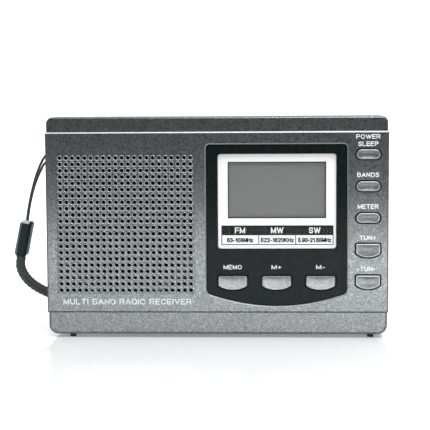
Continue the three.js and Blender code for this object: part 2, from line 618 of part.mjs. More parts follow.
// ---- rear shell: step for the antenna, battery bay, kickstand recess, sockets, strap bar
function rearShell() {
  const past = 6;
  const outer = plate(
    roundedRect(-CASE_HALF_W, CASE_HALF_W, CASE_BOTTOM, CASE_TOP, CORNER_TOP, CORNER_BOTTOM),
    -BACK, past, BACK_EDGE, 3, 5,
  ).mirror([0, 1, 0]).intersect(block([-FAR, FAR], [SPLIT_REAR, BACK], [0, FAR]));
  let shell = outer.subtract(block([-FAR, FAR], [STEP_Y, FAR], [STEP_Z, FAR]));
  shell = shell.subtract(block(
    [-CAVITY_HALF_W, CAVITY_HALF_W], [-1, BACK - WALL], [CAVITY_BOTTOM, STEP_Z - WALL],
  ));
  shell = shell.subtract(block(
    [-CAVITY_HALF_W, CAVITY_HALF_W], [-1, STEP_Y - WALL], [STEP_Z - WALL - 1, CAVITY_TOP],
  ));

  // saddles for the ferrite bar
  for (const x of SADDLE_X) {
    shell = shell.add(block(
      [x - 1, x + 1], [SPLIT_REAR, STEP_Y - 1], [STEP_Z - WALL - 0.4, CAVITY_TOP + BITE],
    ));
  }
  shell = shell.subtract(rodX(0, FERRITE_Z, FERRITE_R + GAP, -FERRITE_HALF - 3, FERRITE_HALF + 3, 16));

  // screw pillars with countersunk mouths
  for (const screw of SCREWS) {
    const root = screw.boss + GAP;
    shell = shell.add(rodY(screw.x, screw.z, PILLAR_R, root, screw.mouth - BITE, 16));
  }
  for (const screw of SCREWS) {
    shell = shell.subtract(rodY(screw.x, screw.z, SCREW_HEAD_R + GAP, screw.ledge, screw.mouth + 1, 16));
    shell = shell.subtract(rodY(screw.x, screw.z, SCREW_SHANK_R + GAP, -1, screw.mouth, 12));
  }

  // battery bay, open at the back, with a rebate for the door
  shell = shell.add(block(
    [BAY_X[0] - BAY_WALL, BAY_X[1] + BAY_WALL], [BAY_FLOOR - BAY_WALL, BACK - BITE],
    [BAY_Z[0] - BAY_WALL, BAY_Z[1] + BAY_WALL],
  ));
  shell = shell.add(block(
    [BAY_X[0] - 2 * DOOR_MARGIN, BAY_X[1] + 2 * DOOR_MARGIN], [DOOR_INNER - 1.2, BACK - BITE],
    [BAY_Z[0] - 2 * DOOR_MARGIN, BAY_Z[1] + 2 * DOOR_MARGIN],
  ));
  shell = shell.subtract(block(BAY_X, [BAY_FLOOR, BACK + 1], BAY_Z));
  shell = shell.subtract(block(
    [BAY_X[0] - DOOR_MARGIN, BAY_X[1] + DOOR_MARGIN], [DOOR_INNER, BACK + 1],
    [BAY_Z[0] - DOOR_MARGIN, BAY_Z[1] + DOOR_MARGIN],
  ));

  // kickstand recess with a finger notch below the tip, and holes for its two stub pins
  const recess = [STAND_X[0] - 0.5, STAND_X[1] + 0.5];
  const recessZ = [STAND_TIP_Z - 2.2, STAND_AXIS_Z + 2.3];
  shell = shell.add(block(
    [recess[0] - WALL, recess[1] + WALL], [STAND_RECESS_Y - 1.6, BACK - BITE],
    [recessZ[0] - 1.6, recessZ[1] + WALL],
  ));
  shell = shell.subtract(block(recess, [STAND_RECESS_Y, BACK + 1], recessZ));
  shell = shell.subtract(rodX(
    STAND_AXIS_Y, STAND_AXIS_Z, STAND_PIN_R + GAP, recess[0] - STAND_PIN_OUT, recess[1] + STAND_PIN_OUT, 12,
  ));

  // socket holes in the left side
  for (const z of [EARPHONE_Z, SUPPLY_Z]) {
    shell = shell.subtract(rodX(SOCKET_Y, z, SOCKET_HALF + GAP, -CASE_HALF_W - 1, -CAVITY_HALF_W + 1, 20));
  }

  // strap pocket in the left side with a bar across it
  const pocketWall = 1.2;
  shell = shell.add(block(
    [-CAVITY_HALF_W - BITE, POCKET_X + pocketWall], [POCKET_Y[0] - pocketWall, BACK - 1],
    [STRAP_BAR_Z - POCKET_HALF_Z - pocketWall, STRAP_BAR_Z + POCKET_HALF_Z + pocketWall],
  ));
  shell = shell.subtract(block(
    [-CASE_HALF_W - 1, POCKET_X], POCKET_Y, [STRAP_BAR_Z - POCKET_HALF_Z, STRAP_BAR_Z + POCKET_HALF_Z],
  ));
  shell = shell.add(rodY(
    STRAP_BAR_X, STRAP_BAR_Z, STRAP_BAR_R, POCKET_Y[0] - 0.4, POCKET_Y[1] + 0.4, 12,
  ));

  // hole for the antenna's rivet, feet and volume wheel
  shell = shell.subtract(rodZ(ANTENNA_X, ANTENNA_Y, RIVET_R + GAP, STEP_Z - WALL - 1, STEP_Z + 1, 16));
  for (const foot of FEET.filter((f) => f.y > 0)) {
    shell = shell.subtract(rodZ(foot.x, foot.y, FOOT_R + GAP, 0, CASE_BOTTOM + FOOT_SOCKET, 12));
  }
  return shell.subtract(wheelSlot(-1, WHEEL_Y[1] + 0.4));
}
put('rear_shell', rearShell(), casePaint());

// ---- battery door with a thumb ridge, cells and contacts
function batteryDoor() {
  const edge = DOOR_MARGIN - GAP;
  let door = block(
    [BAY_X[0] - edge, BAY_X[1] + edge], [DOOR_INNER + GAP, BACK - 0.1], [BAY_Z[0] - edge, BAY_Z[1] + edge],
  );
  for (let i = 0; i < RIDGES; i += 1) {
    const x = BAY_X[1] - 4 - i * RIDGE_PITCH;
    door = door.subtract(block(
      [x, x + RIDGE_WIDTH], [BACK - 0.5, BACK + 1], [BAY_Z[0] + 8, BAY_Z[1] - 8],
    ));
  }
  return door;
}
put('battery_door', batteryDoor(), casePaint());

function batteryCell(z, positiveRight) {
  const [nippleR, nippleHigh] = CELL_NIPPLE;
  const outline = [
    [0, 0], [CELL_SHOULDER, 0], [CELL_R, 0.4], [CELL_R, CELL_LENGTH - 0.4], [CELL_SHOULDER, CELL_LENGTH],
    [nippleR, CELL_LENGTH], [nippleR - 0.1, CELL_LENGTH + nippleHigh], [0, CELL_LENGTH + nippleHigh],
  ];
  const geometry = new THREE.LatheGeometry(outline.map(([r, y]) => new THREE.Vector2(r, y)), 24);
  geometry.rotateZ(positiveRight ? -Math.PI / 2 : Math.PI / 2);
  const shift = positiveRight ? CELL_START : CELL_START + CELL_LENGTH + nippleHigh;
  geometry.translate(shift, CELL_Y, z);
  return solid(geometry);
}
put('battery_cell_lower', batteryCell(CELL_Z[0], false), cellWrap());
put('battery_cell_upper', batteryCell(CELL_Z[1], true), cellWrap());

// A conical contact spring about a line along X, wide end at wideX and narrow end at narrowX.
function contactSpring(z, wideX, narrowX) {
  const steps = 24;
  const points = [];
  for (let i = 0; i <= steps; i += 1) {
    const t = i / steps;
    const r = SPRING_R[0] + (SPRING_R[1] - SPRING_R[0]) * t;
    const a = t * SPRING_TURNS * Math.PI * 2;
    points.push([wideX + (narrowX - wideX) * t, CELL_Y + Math.cos(a) * r, z + Math.sin(a) * r]);
  }
  return solid(sweptTube(points, SPRING_WIRE_R, 5, steps));
}
const contactY = [CELL_Y - CONTACT_HALF_Y, CELL_Y + CONTACT_HALF_Y];
const [lowContact, highContact] = CELL_Z.map((z) => [z - CONTACT_HALF_Z, z + CONTACT_HALF_Z]);
const leftFace = BAY_X[0] + CONTACT_DEEP;
const rightFace = BAY_X[1] - CONTACT_DEEP;
const rightEnd = BAY_X[1] - GAP;
put('battery_bridge', block([BAY_X[0] + GAP, leftFace], contactY, [lowContact[0], highContact[1]])
  .add(contactSpring(CELL_Z[1], leftFace, leftFace + 1.8)), steel());
put('battery_spring', block([rightFace, rightEnd], contactY, lowContact)
  .add(contactSpring(CELL_Z[0], rightFace, rightFace - 1.2)), steel());
put('battery_plate', block([rightFace, rightEnd], contactY, highContact)
  .add(rodX(CELL_Y, CELL_Z[1], 3.2, rightFace - 1.1, rightFace + 0.2, 16)), steel());

// ---- kickstand
function kickstand() {
  const inner = STAND_AXIS_Y - 0.6;
  const leg = block(STAND_X, [inner, inner + STAND_THICK], [STAND_TIP_Z, STAND_AXIS_Z]);
  const barrel = rodX(STAND_AXIS_Y, STAND_AXIS_Z, STAND_BARREL_R, STAND_X[0], STAND_X[1], 16);
  const pin = rodX(
    STAND_AXIS_Y, STAND_AXIS_Z, STAND_PIN_R, STAND_X[0] - STAND_PIN_OUT, STAND_X[1] + STAND_PIN_OUT, 12,
  );
  return leg.add(barrel).add(pin);
}
put('kickstand', kickstand(), casePaint());

// ---- telescopic antenna: swivel fork on the step, four tubes and a tipped rod
function antennaSwivel() {
  let fork = rodZ(ANTENNA_X, ANTENNA_Y, SWIVEL_R, STEP_Z + GAP, STEP_Z + 1.5, 24);
  fork = fork.add(rodZ(ANTENNA_X, ANTENNA_Y, RIVET_R, STEP_Z - WALL - 1.5, STEP_Z + 1, 16));
  for (const side of [-1, 1]) {
    const y = FORK_Y.map((offset) => ANTENNA_Y + side * offset).sort((a, b) => a - b);
    fork = fork.add(block([ANTENNA_X - FORK_R, ANTENNA_X + FORK_R], y, [STEP_Z + 0.8, ANTENNA_Z]));
    fork = fork.add(rodY(ANTENNA_X, ANTENNA_Z, FORK_R, y[0], y[1], 20));
  }
  fork = fork.add(rodY(ANTENNA_X, ANTENNA_Z, LIFT_PIN_R, ANTENNA_Y - 2, ANTENNA_Y + 2, 12));
  return fork.intersect(rodZ(ANTENNA_X, ANTENNA_Y, SWIVEL_R + 0.1, 0, CASE_TOP, 24));
}
put('antenna_swivel', antennaSwivel(), chrome());

function antennaBase() {
  const tube = TUBES[0];
  let body = rodX(ANTENNA_Y, ANTENNA_Z, tube.r, tube.to, tube.from, 20);
  const tongueY = [ANTENNA_Y - TONGUE_HALF, ANTENNA_Y + TONGUE_HALF];
  const tongueHalfZ = FORK_R - 0.05;
  body = body.add(rodY(ANTENNA_X, ANTENNA_Z, FORK_R, tongueY[0], tongueY[1], 20));
  body = body.add(block(
    [tube.from - 1, ANTENNA_X], tongueY, [ANTENNA_Z - tongueHalfZ, ANTENNA_Z + tongueHalfZ],
  ));
  body = body.subtract(rodY(ANTENNA_X, ANTENNA_Z, LIFT_PIN_R + GAP, 0, 20, 12));
  return body.subtract(rodX(ANTENNA_Y, ANTENNA_Z, tube.bore, tube.to - 1, tube.from - 4.3, 20));
}
put('antenna_tube_1', antennaBase(), chrome());

TUBES.slice(1).forEach((tube, i) => {
  const body = rodX(ANTENNA_Y, ANTENNA_Z, tube.r, tube.to, tube.from, 16)
    .subtract(rodX(ANTENNA_Y, ANTENNA_Z, tube.bore, tube.to - 1, tube.from - 0.2, 16));
  put(`antenna_tube_${i + 2}`, body, chrome());
});

const tipFrom = TUBES[3].to - 0.5;
put('antenna_tip', rodX(ANTENNA_Y, ANTENNA_Z, ROD_R, tipFrom - 1, TUBES[3].from - 0.5, 10)
  .add(rodX(ANTENNA_Y, ANTENNA_Z, TIP_R, tipFrom - TIP_LENGTH, tipFrom, 16)), chrome());

// ---- volume wheel with its shaft, and the control it turns
function volumeWheel() {
  const shape = new THREE.Shape();
  const points = WHEEL_TEETH * 2;
  for (let i = 0; i < points; i += 1) {
    const a = (i / points) * Math.PI * 2;
    const r = i % 2 === 0 ? WHEEL_R : WHEEL_R - WHEEL_TOOTH;
    const x = WHEEL_X + Math.cos(a) * r;
    const z = WHEEL_Z + Math.sin(a) * r;
    if (i === 0) {
      shape.moveTo(x, z);
    } else {
      shape.lineTo(x, z);
    }
  }
  shape.closePath();
  return plate(shape, WHEEL_Y[0], WHEEL_Y[1])
    .add(rodY(WHEEL_X, WHEEL_Z, SHAFT_R, BOARD_BACK + 0.8, WHEEL_Y[1] + 0.6, 14));
}
put('volume_wheel', volumeWheel(), darkPlastic());
put('volume_control', rodY(WHEEL_X, WHEEL_Z, CONTROL_R, BOARD_BACK + GAP, WHEEL_Y[0] - GAP, 20)
  .subtract(rodY(WHEEL_X, WHEEL_Z, SHAFT_R + GAP, BOARD_BACK + 0.5, 0, 14)), steel());

// ---- earphone and supply sockets on their own small board
function socket(z, bore, pin) {
  const mouth = -CASE_HALF_W + 0.2;
  const end = SOCKET_X[1] - 1.5;
  let body = block(
    SOCKET_X, [SOCKET_Y - SOCKET_HALF, SOCKET_Y + SOCKET_HALF], [z - SOCKET_HALF_Z, z + SOCKET_HALF_Z],
  );
  body = body.add(rodX(SOCKET_Y, z, SOCKET_HALF, mouth, SOCKET_X[0] + 0.6, 20));
  body = body.subtract(rodX(SOCKET_Y, z, bore, mouth - 1, end, 16));
  if (pin > 0) {
    body = body.add(rodX(SOCKET_Y, z, pin, mouth + 0.8, end + BITE, 8));
  }
  return body;
}
put('earphone_socket', socket(EARPHONE_Z, 1.8, 0), darkPlastic());
put('supply_socket', socket(SUPPLY_Z, 1.9, 0.65), darkPlastic());
const socketBoardY = [SOCKET_Y + SOCKET_HALF + GAP, SOCKET_Y + SOCKET_HALF + 1.5];
const socketBoardX = [SOCKET_X[0] + 0.2, SOCKET_X[1] + 1];
put('socket_board', boxGeometry(socketBoardX, socketBoardY, [EARPHONE_Z - 5, SUPPLY_Z + 5]), boardGreen());

// ---- case screws and feet
function caseScrew(screw) {
  const seat = screw.ledge + GAP;
  const slotY = [seat + SCREW_HEAD_H - SCREW_SLOT_DEEP, FAR];
  const [long, short] = SCREW_SLOT;
  const slot = (halfX, halfZ) => block(
    [screw.x - halfX, screw.x + halfX], slotY, [screw.z - halfZ, screw.z + halfZ],
  );
  return rodY(screw.x, screw.z, SCREW_HEAD_R, seat, seat + SCREW_HEAD_H, 16)
    .add(rodY(screw.x, screw.z, SCREW_SHANK_R, seat + 0.2 - SCREW_LENGTH, seat + BITE, 10))
    .subtract(slot(long, short))
    .subtract(slot(short, long));
}
for (const screw of SCREWS) {
  put(screw.name, caseScrew(screw), steel());
}
for (const foot of FEET) {
  put(foot.name, rodZ(foot.x, foot.y, FOOT_R, 0, CASE_BOTTOM + 1.1, 12), rubber());
}

// ---- wrist strap: thin cord round the bar, ferrule, braided loop
const cordGap = 0.75;             // each strand from the middle plane of the ferrule
const roundBar = 1.9;             // the cord's line from the bar's axis
const diagonal = 1.35;
put('strap_cord', sweptTube([
  [-72.05, FERRULE.y - cordGap, 39.6], [-71.0, 15.1, 45.6], [-68.7, 12.2, 53.0], [-66.7, 9.9, 57.9],
  [-63.5, 7.6, 63.4], [-60.9, 6.3, 64.75], [STRAP_BAR_X, 5.9, STRAP_BAR_Z + roundBar],
  [STRAP_BAR_X + diagonal, 6.15, STRAP_BAR_Z + diagonal], [STRAP_BAR_X + roundBar, 6.4, STRAP_BAR_Z],
  [STRAP_BAR_X + diagonal, 6.65, STRAP_BAR_Z - diagonal], [STRAP_BAR_X, 6.9, STRAP_BAR_Z - roundBar],
  [-61.0, 7.6, 61.1], [-63.5, 9.2, 61.2], [-66.3, 11.6, 57.2], [-68.5, 13.7, 52.8],
  [-70.9, 16.4, 45.6], [-72.05, FERRULE.y + cordGap, 39.6],
], CORD_R, 8, 30), braid());

const ferrule = put('strap_ferrule', new THREE.BoxGeometry(FERRULE.w, FERRULE.d, FERRULE.h), darkPlastic());
ferrule.position.set(FERRULE.x, FERRULE.y, FERRULE.z);
ferrule.rotation.set(0, THREE.MathUtils.degToRad(FERRULE.tilt), 0);

const FLOOR_Z = WEBBING_R + 0.1;
const HANGING = [                 // x and z of both plies, from the ferrule to the surface
  [-74.75, 25.2], [-75.05, 22.2], [-74.3, 19.6], [-72.6, 17.0], [-70.5, 15.0], [-67.9, 13.3],
  [-64.9, 11.8], [-58.9, 8.9], [-51.9, 5.6], [-45.0, 3.0],
];
const PLY_OUT_Y = [14.75, 14.75, 14.8, 14.8, 14.9, 15.0, 15.1, 15.3, 15.6, 15.9];
const PLY_BACK_Y = [18.25, 18.25, 18.25, 18.3, 18.4, 18.5, 18.6, 18.9, 19.7, 22.0];
const loopX = -16;                // far end of the loop, an arc on the surface
const loopY = 27.2;
const loopR = 11;
const onFloor = [[-39.0, 16.1], [-31.0, 16.2], [-23.0, 16.2]];
for (let a = -90; a <= 90; a += 30) {
  const t = THREE.MathUtils.degToRad(a);
  onFloor.push([loopX + Math.cos(t) * loopR, loopY + Math.sin(t) * loopR]);
}
onFloor.push([-24.5, 36.6], [-32.0, 32.2], [-39.5, 26.6]);
put('strap_webbing', sweptTube([
  ...HANGING.map(([x, z], i) => [x, PLY_OUT_Y[i], z]),
  ...onFloor.map(([x, y]) => [x, y, FLOOR_Z]),
  ...HANGING.map(([x, z], i) => [x, PLY_BACK_Y[i], z]).reverse(),
], WEBBING_R, 8, 34), braid());

export default receiver;
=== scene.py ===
"""Looks of a pocket shortwave receiver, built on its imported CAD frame. Metres, +Z up, front towards -Y."""
import math

import bmesh
import bpy
from mathutils import Matrix, Vector


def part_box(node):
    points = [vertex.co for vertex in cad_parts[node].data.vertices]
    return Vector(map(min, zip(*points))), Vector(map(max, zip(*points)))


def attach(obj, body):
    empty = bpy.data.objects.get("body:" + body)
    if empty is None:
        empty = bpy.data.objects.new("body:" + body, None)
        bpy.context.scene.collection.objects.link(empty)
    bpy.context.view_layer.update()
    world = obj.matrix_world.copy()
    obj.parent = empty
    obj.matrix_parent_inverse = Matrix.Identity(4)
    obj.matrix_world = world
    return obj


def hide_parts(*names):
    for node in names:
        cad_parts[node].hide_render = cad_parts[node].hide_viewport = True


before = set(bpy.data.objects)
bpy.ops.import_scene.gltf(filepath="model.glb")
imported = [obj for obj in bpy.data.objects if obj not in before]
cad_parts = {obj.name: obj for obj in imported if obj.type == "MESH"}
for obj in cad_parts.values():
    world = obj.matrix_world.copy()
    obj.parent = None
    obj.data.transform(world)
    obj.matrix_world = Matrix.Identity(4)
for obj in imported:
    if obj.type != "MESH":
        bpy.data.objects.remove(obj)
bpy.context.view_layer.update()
MM = 0.001

# ---------------------------------------------------------------- camera
CAMERA_AT = Vector((20.1, -464.55, 85.13)) * MM
CAMERA_YAW = math.radians(2.608)
CAMERA_PITCH = math.radians(5.24)
CAMERA_ROLL = math.radians(-0.355)
CAMERA_LENS = 108.84


def make_camera():
    data = bpy.data.cameras.new("camera")
    data.lens = CAMERA_LENS
    data.sensor_width = 36.0
    data.clip_start = 0.01
    data.clip_end = 50.0
    camera = bpy.data.objects.new("camera", data)
    bpy.context.scene.collection.objects.link(camera)
    level = math.cos(CAMERA_PITCH)
    forward = Vector((
        -math.sin(CAMERA_YAW) * level,
        math.cos(CAMERA_YAW) * level,
        -math.sin(CAMERA_PITCH),
    ))
    right = forward.cross(Vector((0, 0, 1))).normalized()
    up = right.cross(forward)
    turned_right = right * math.cos(CAMERA_ROLL) + up * math.sin(CAMERA_ROLL)
    turned_up = up * math.cos(CAMERA_ROLL) - right * math.sin(CAMERA_ROLL)
    rotation = Matrix((turned_right, turned_up, -forward)).transposed()
    camera.matrix_world = Matrix.Translation(CAMERA_AT) @ rotation.to_4x4()
    bpy.context.scene.camera = camera


make_camera()


# ---------------------------------------------------------------- mesh helpers
MERGE_DISTANCE = 2e-6              # corners of a CAD mesh closer than this are one corner
FLAT_ANGLE = math.radians(0.6)     # faces of a CAD mesh that turn by less than this are one face
SPLINE_STEPS = 24                  # straight steps between two points of a route, before even spacing


def new_object(name, mesh):
    piece = bpy.data.objects.new(name, mesh)
    bpy.context.scene.collection.objects.link(piece)
    return piece


def finish_piece(piece, body, material, stands_for=()):
    piece.data.materials.clear()
    piece.data.materials.append(material)
    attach(piece, body)
    if stands_for:
        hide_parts(*stands_for)
    return piece


def smooth_by_angle(mesh, degrees=35):
    for polygon in mesh.polygons:
        polygon.use_smooth = True
    mesh.set_sharp_from_angle(angle=math.radians(degrees))


def bake_modifiers(piece):
    graph = bpy.context.evaluated_depsgraph_get()
    made = bpy.data.meshes.new_from_object(piece.evaluated_get(graph))
    piece.modifiers.clear()
    old = piece.data
    piece.data = made
    bpy.data.meshes.remove(old)


def refined(node, name, edge, segments=2, angle=30, smooth=35, chamfer=None):
    """A copy of a CAD node's mesh with its sharp edges rounded off and its flat faces kept flat.

    chamfer takes a test for an edge's two ends and a width, and cuts those edges off first.
    """
    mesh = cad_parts[node].data.copy()
    mesh.name = name
    work = bmesh.new()
    work.from_mesh(mesh)
    bmesh.ops.remove_doubles(work, verts=work.verts, dist=MERGE_DISTANCE)
    bmesh.ops.dissolve_limit(work, angle_limit=FLAT_ANGLE, verts=work.verts, edges=work.edges)
    if chamfer:
        chosen, width = chamfer
        edges = [e for e in work.edges if chosen(e.verts[0].co) and chosen(e.verts[1].co)]
        bmesh.ops.bevel(work, geom=edges, offset=width, offset_type="OFFSET", segments=1,
                        profile=0.5, affect="EDGES")
    work.to_mesh(mesh)
    work.free()
    smooth_by_angle(mesh, smooth)
    piece = new_object(name, mesh)
    if edge > 0:
        bevel = piece.modifiers.new("edge", "BEVEL")
        bevel.width = edge
        bevel.segments = segments
        bevel.limit_method = "ANGLE"
        bevel.angle_limit = math.radians(angle)
        bevel.use_clamp_overlap = True
        bevel.harden_normals = True
        weighted = piece.modifiers.new("normals", "WEIGHTED_NORMAL")
        weighted.keep_sharp = True
        bake_modifiers(piece)
    return piece


def mesh_from(name, points, faces, smooth=35):
    mesh = bpy.data.meshes.new(name)
    mesh.from_pydata([tuple(p) for p in points], [], faces)
    mesh.validate()
    work = bmesh.new()
    work.from_mesh(mesh)
    bmesh.ops.recalc_face_normals(work, faces=work.faces)
    work.to_mesh(mesh)
    work.free()
    smooth_by_angle(mesh, smooth)
    return mesh


def spline_points(points, spacing):
    """A centripetal Catmull-Rom line through the points, resampled at even spacing."""
    points = [Vector(p) for p in points]
    padded = [points[0] * 2 - points[1], *points, points[-1] * 2 - points[-2]]
    dense = []
    for i in range(1, len(padded) - 2):
        p0, p1, p2, p3 = padded[i - 1:i + 3]
        knots = [0.0]
        for a, b in ((p0, p1), (p1, p2), (p2, p3)):
            knots.append(knots[-1] + max((b - a).length, 1e-9) ** 0.5)
        t0, t1, t2, t3 = knots
        for step in range(SPLINE_STEPS):
            t = t1 + (t2 - t1) * step / SPLINE_STEPS
            a1 = p0 * ((t1 - t) / (t1 - t0)) + p1 * ((t - t0) / (t1 - t0))
            a2 = p1 * ((t2 - t) / (t2 - t1)) + p2 * ((t - t1) / (t2 - t1))
            a3 = p2 * ((t3 - t) / (t3 - t2)) + p3 * ((t - t2) / (t3 - t2))
            b1 = a1 * ((t2 - t) / (t2 - t0)) + a2 * ((t - t0) / (t2 - t0))
            b2 = a2 * ((t3 - t) / (t3 - t1)) + a3 * ((t - t1) / (t3 - t1))
            dense.append(b1 * ((t2 - t) / (t2 - t1)) + b2 * ((t - t1) / (t2 - t1)))
    dense.append(points[-1])
    total = sum((b - a).length for a, b in zip(dense, dense[1:]))
    count = max(2, round(total / spacing))
    even = [dense[0]]
    travelled = 0.0
    wanted = total / count
    for a, b in zip(dense, dense[1:]):
        length = (b - a).length
        while length > 0 and travelled + length >= wanted * len(even) and len(even) < count:
            even.append(a.lerp(b, (wanted * len(even) - travelled) / length))
        travelled += length
    even.append(dense[-1])
    return even, total


def braided_tube(name, path, radius, around, crossings, pitch, depth):
    """A closed tube along the path whose surface rises and falls like crossed braid strands."""
    points = []
    faces = []
    side = None
    travelled = 0.0
    for i, here in enumerate(path):
        ahead = path[min(i + 1, len(path) - 1)]
        behind = path[max(i - 1, 0)]
        along = (ahead - behind).normalized()
        if side is None:
            side = along.cross(Vector((0, 1, 0.2))).normalized()
        side = (side - along * side.dot(along)).normalized()
        other = along.cross(side)
        if i > 0:
            travelled += (here - path[i - 1]).length
        for j in range(around):
            turn = 2 * math.pi * j / around
            phase = 2 * math.pi * travelled / pitch
            over = math.cos(crossings * turn + phase) * math.cos(crossings * turn - phase)
            strand = radius - depth * (0.5 - 0.5 * over)
            points.append(here + (side * math.cos(turn) + other * math.sin(turn)) * strand)
    rows = len(path)
    for i in range(rows - 1):
        for j in range(around):
            k = (j + 1) % around
            faces.append((i * around + j, i * around + k, (i + 1) * around + k, (i + 1) * around + j))
    faces.append(tuple(range(around)))
    faces.append(tuple(reversed(range((rows - 1) * around, rows * around))))
    return mesh_from(name, points, faces, smooth=60)


# ---------------------------------------------------------------- material helpers
class Nodes:
    """A small builder for one procedural material."""

    def __init__(self, name):
        self.material = bpy.data.materials.new(name)
        self.material.use_nodes = True
        self.tree = self.material.node_tree
        self.shader = self.tree.nodes["Principled BSDF"]
        self.place = self.add("ShaderNodeTexCoord").outputs["Object"]

    def add(self, kind, **values):
        node = self.tree.nodes.new(kind)
        for key, value in values.items():
            setattr(node, key, value)
        return node

    def link(self, output, socket):
        self.tree.links.new(output, socket)

    def set(self, **values):
        for key, value in values.items():
            self.shader.inputs[key.replace("_", " ")].default_value = value

    def noise(self, scale, detail=2.0, roughness=0.5, stretch=None):
        node = self.add("ShaderNodeTexNoise")
        node.inputs["Scale"].default_value = scale
        node.inputs["Detail"].default_value = detail
        node.inputs["Roughness"].default_value = roughness
        source = self.place
        if stretch:
            mapping = self.add("ShaderNodeMapping")
            mapping.inputs["Scale"].default_value = stretch
            self.link(source, mapping.inputs["Vector"])
            source = mapping.outputs["Vector"]
        self.link(source, node.inputs["Vector"])
        return node.outputs["Fac"]

    def voronoi(self, scale):
        node = self.add("ShaderNodeTexVoronoi")
        node.inputs["Scale"].default_value = scale
        self.link(self.place, node.inputs["Vector"])
        return node

    def ramp(self, source, stops):
        node = self.add("ShaderNodeValToRGB")
        elements = node.color_ramp.elements
        while len(elements) < len(stops):
            elements.new(0.5)
        for element, (position, colour) in zip(elements, stops):
            element.position = position
            element.color = (*colour, 1.0)
        self.link(source, node.inputs["Fac"])
        return node.outputs["Color"]

    def spread(self, source, low, high, source_low=0.3, source_high=0.7):
        node = self.add("ShaderNodeMapRange")
        node.inputs["From Min"].default_value = source_low
        node.inputs["From Max"].default_value = source_high
        node.inputs["To Min"].default_value = low
        node.inputs["To Max"].default_value = high
        self.link(source, node.inputs["Value"])
        return node.outputs["Result"]

    def bump(self, source, distance, strength=1.0):
        node = self.add("ShaderNodeBump")
        node.inputs["Distance"].default_value = distance
        node.inputs["Strength"].default_value = strength
        self.link(source, node.inputs["Height"])
        self.link(node.outputs["Normal"], self.shader.inputs["Normal"])

    def colour(self, output):
        self.link(output, self.shader.inputs["Base Color"])

    def roughness(self, output):
        self.link(output, self.shader.inputs["Roughness"])


def grey(value, tint=(1.0, 1.0, 1.0)):
    return tuple(value * part for part in tint)


def metallic_paint(name, base, metallic, rough, sparkle, shade=0.0):
    """Paint with aluminium flake: cells of slightly different brightness.

    shade darkens the top of a piece and lightens its bottom by this part.
    """
    m = Nodes(name)
    flakes = m.voronoi(3600)
    cool = (0.94, 1.0, 1.02)
    colour = m.ramp(flakes.outputs["Color"], [
        (0.0, grey(base * (1 - sparkle), cool)),
        (0.55, grey(base, cool)),
        (0.86, grey(base * (1 + sparkle * 0.5), cool)),
        (1.0, grey(base * (1 + sparkle * 1.6), cool)),
    ])
    if shade:
        split = m.add("ShaderNodeSeparateXYZ")
        m.link(m.tree.nodes["Texture Coordinate"].outputs["Generated"], split.inputs["Vector"])
        level = m.spread(split.outputs["Z"], 1 + shade, 1 - shade, 0.1, 0.95)
        scale = m.add("ShaderNodeVectorMath", operation="SCALE")
        m.link(colour, scale.inputs[0])
        m.link(level, scale.inputs["Scale"])
        colour = scale.outputs["Vector"]
    m.colour(colour)
    m.set(Metallic=metallic)
    m.roughness(m.spread(m.noise(900), rough - 0.05, rough + 0.06))
    m.bump(m.noise(3200, 3.0), 0.00002, 0.5)
    return m.material


def moulded(name, colour, rough, grain=2600, depth=0.00002, specular=0.5):
    """Moulded plastic: slight cloudiness in colour and gloss over a fine spark-eroded grain."""
    m = Nodes(name)
    m.colour(m.ramp(m.noise(160, 3.0), [
        (0.3, tuple(c * 0.93 for c in colour)),
        (0.7, tuple(min(1.0, c * 1.06) for c in colour)),
    ]))
    m.roughness(m.spread(m.noise(420, 3.0), max(0.02, rough - 0.06), rough + 0.06))
    m.set(Specular_IOR_Level=specular)
    m.bump(m.noise(grain, 2.0), depth, 0.4)
    return m.material


def plated(name, colour, rough, stretch=(1, 1, 1)):
    """Bright metal with faint drawing lines."""
    m = Nodes(name)
    lines = m.noise(900, 4.0, 0.6, stretch)
    m.colour(m.ramp(lines, [(0.3, tuple(c * 0.94 for c in colour)), (0.7, colour)]))
    m.set(Metallic=1.0)
    m.roughness(m.spread(lines, rough * 0.8, rough * 1.4))
    m.bump(lines, 0.000004, 0.3)
    return m.material


def woven(name, dark, light, scale, depth):
    """Braided yarn: fibre noise in colour and relief, with a soft sheen."""
    m = Nodes(name)
    fibres = m.noise(scale, 4.0, 0.7)
    m.colour(m.ramp(fibres, [(0.3, dark), (0.72, light)]))
    m.set(Roughness=0.9, Sheen_Weight=0.25, Sheen_Roughness=0.5)
    m.bump(fibres, depth, 0.8)
    return m.material


def clear_window():
    m = Nodes("clear_window")
    smears = m.noise(40, 3.0)
    m.colour(m.ramp(smears, [(0.3, (0.01, 0.012, 0.012)), (0.7, (0.02, 0.022, 0.022))]))
    m.roughness(m.spread(smears, 0.03, 0.07))
    m.set(Alpha=0.035, Specular_IOR_Level=0.6)
    return m.material


def display_face():
    m = Nodes("display_face")
    cloud = m.noise(55, 2.0)
    m.colour(m.ramp(cloud, [(0.3, (0.186, 0.198, 0.192)), (0.7, (0.193, 0.205, 0.199))]))
    m.roughness(m.spread(m.noise(3000), 0.40, 0.48))
    m.set(Specular_IOR_Level=0.2)
    m.bump(m.noise(2600), 0.000004, 0.3)
    return m.material


def printed(name, colour, glow=0.0):
    m = Nodes(name)
    m.colour(m.ramp(m.noise(700, 3.0), [(0.3, tuple(c * 0.97 for c in colour)), (0.7, colour)]))
    m.roughness(m.spread(m.noise(900), 0.45, 0.6))
    m.set(Specular_IOR_Level=0.12)
    if glow:
        m.shader.inputs["Emission Color"].default_value = (1.0, 1.0, 1.0, 1.0)
        m.set(Emission_Strength=glow)
    return m.material


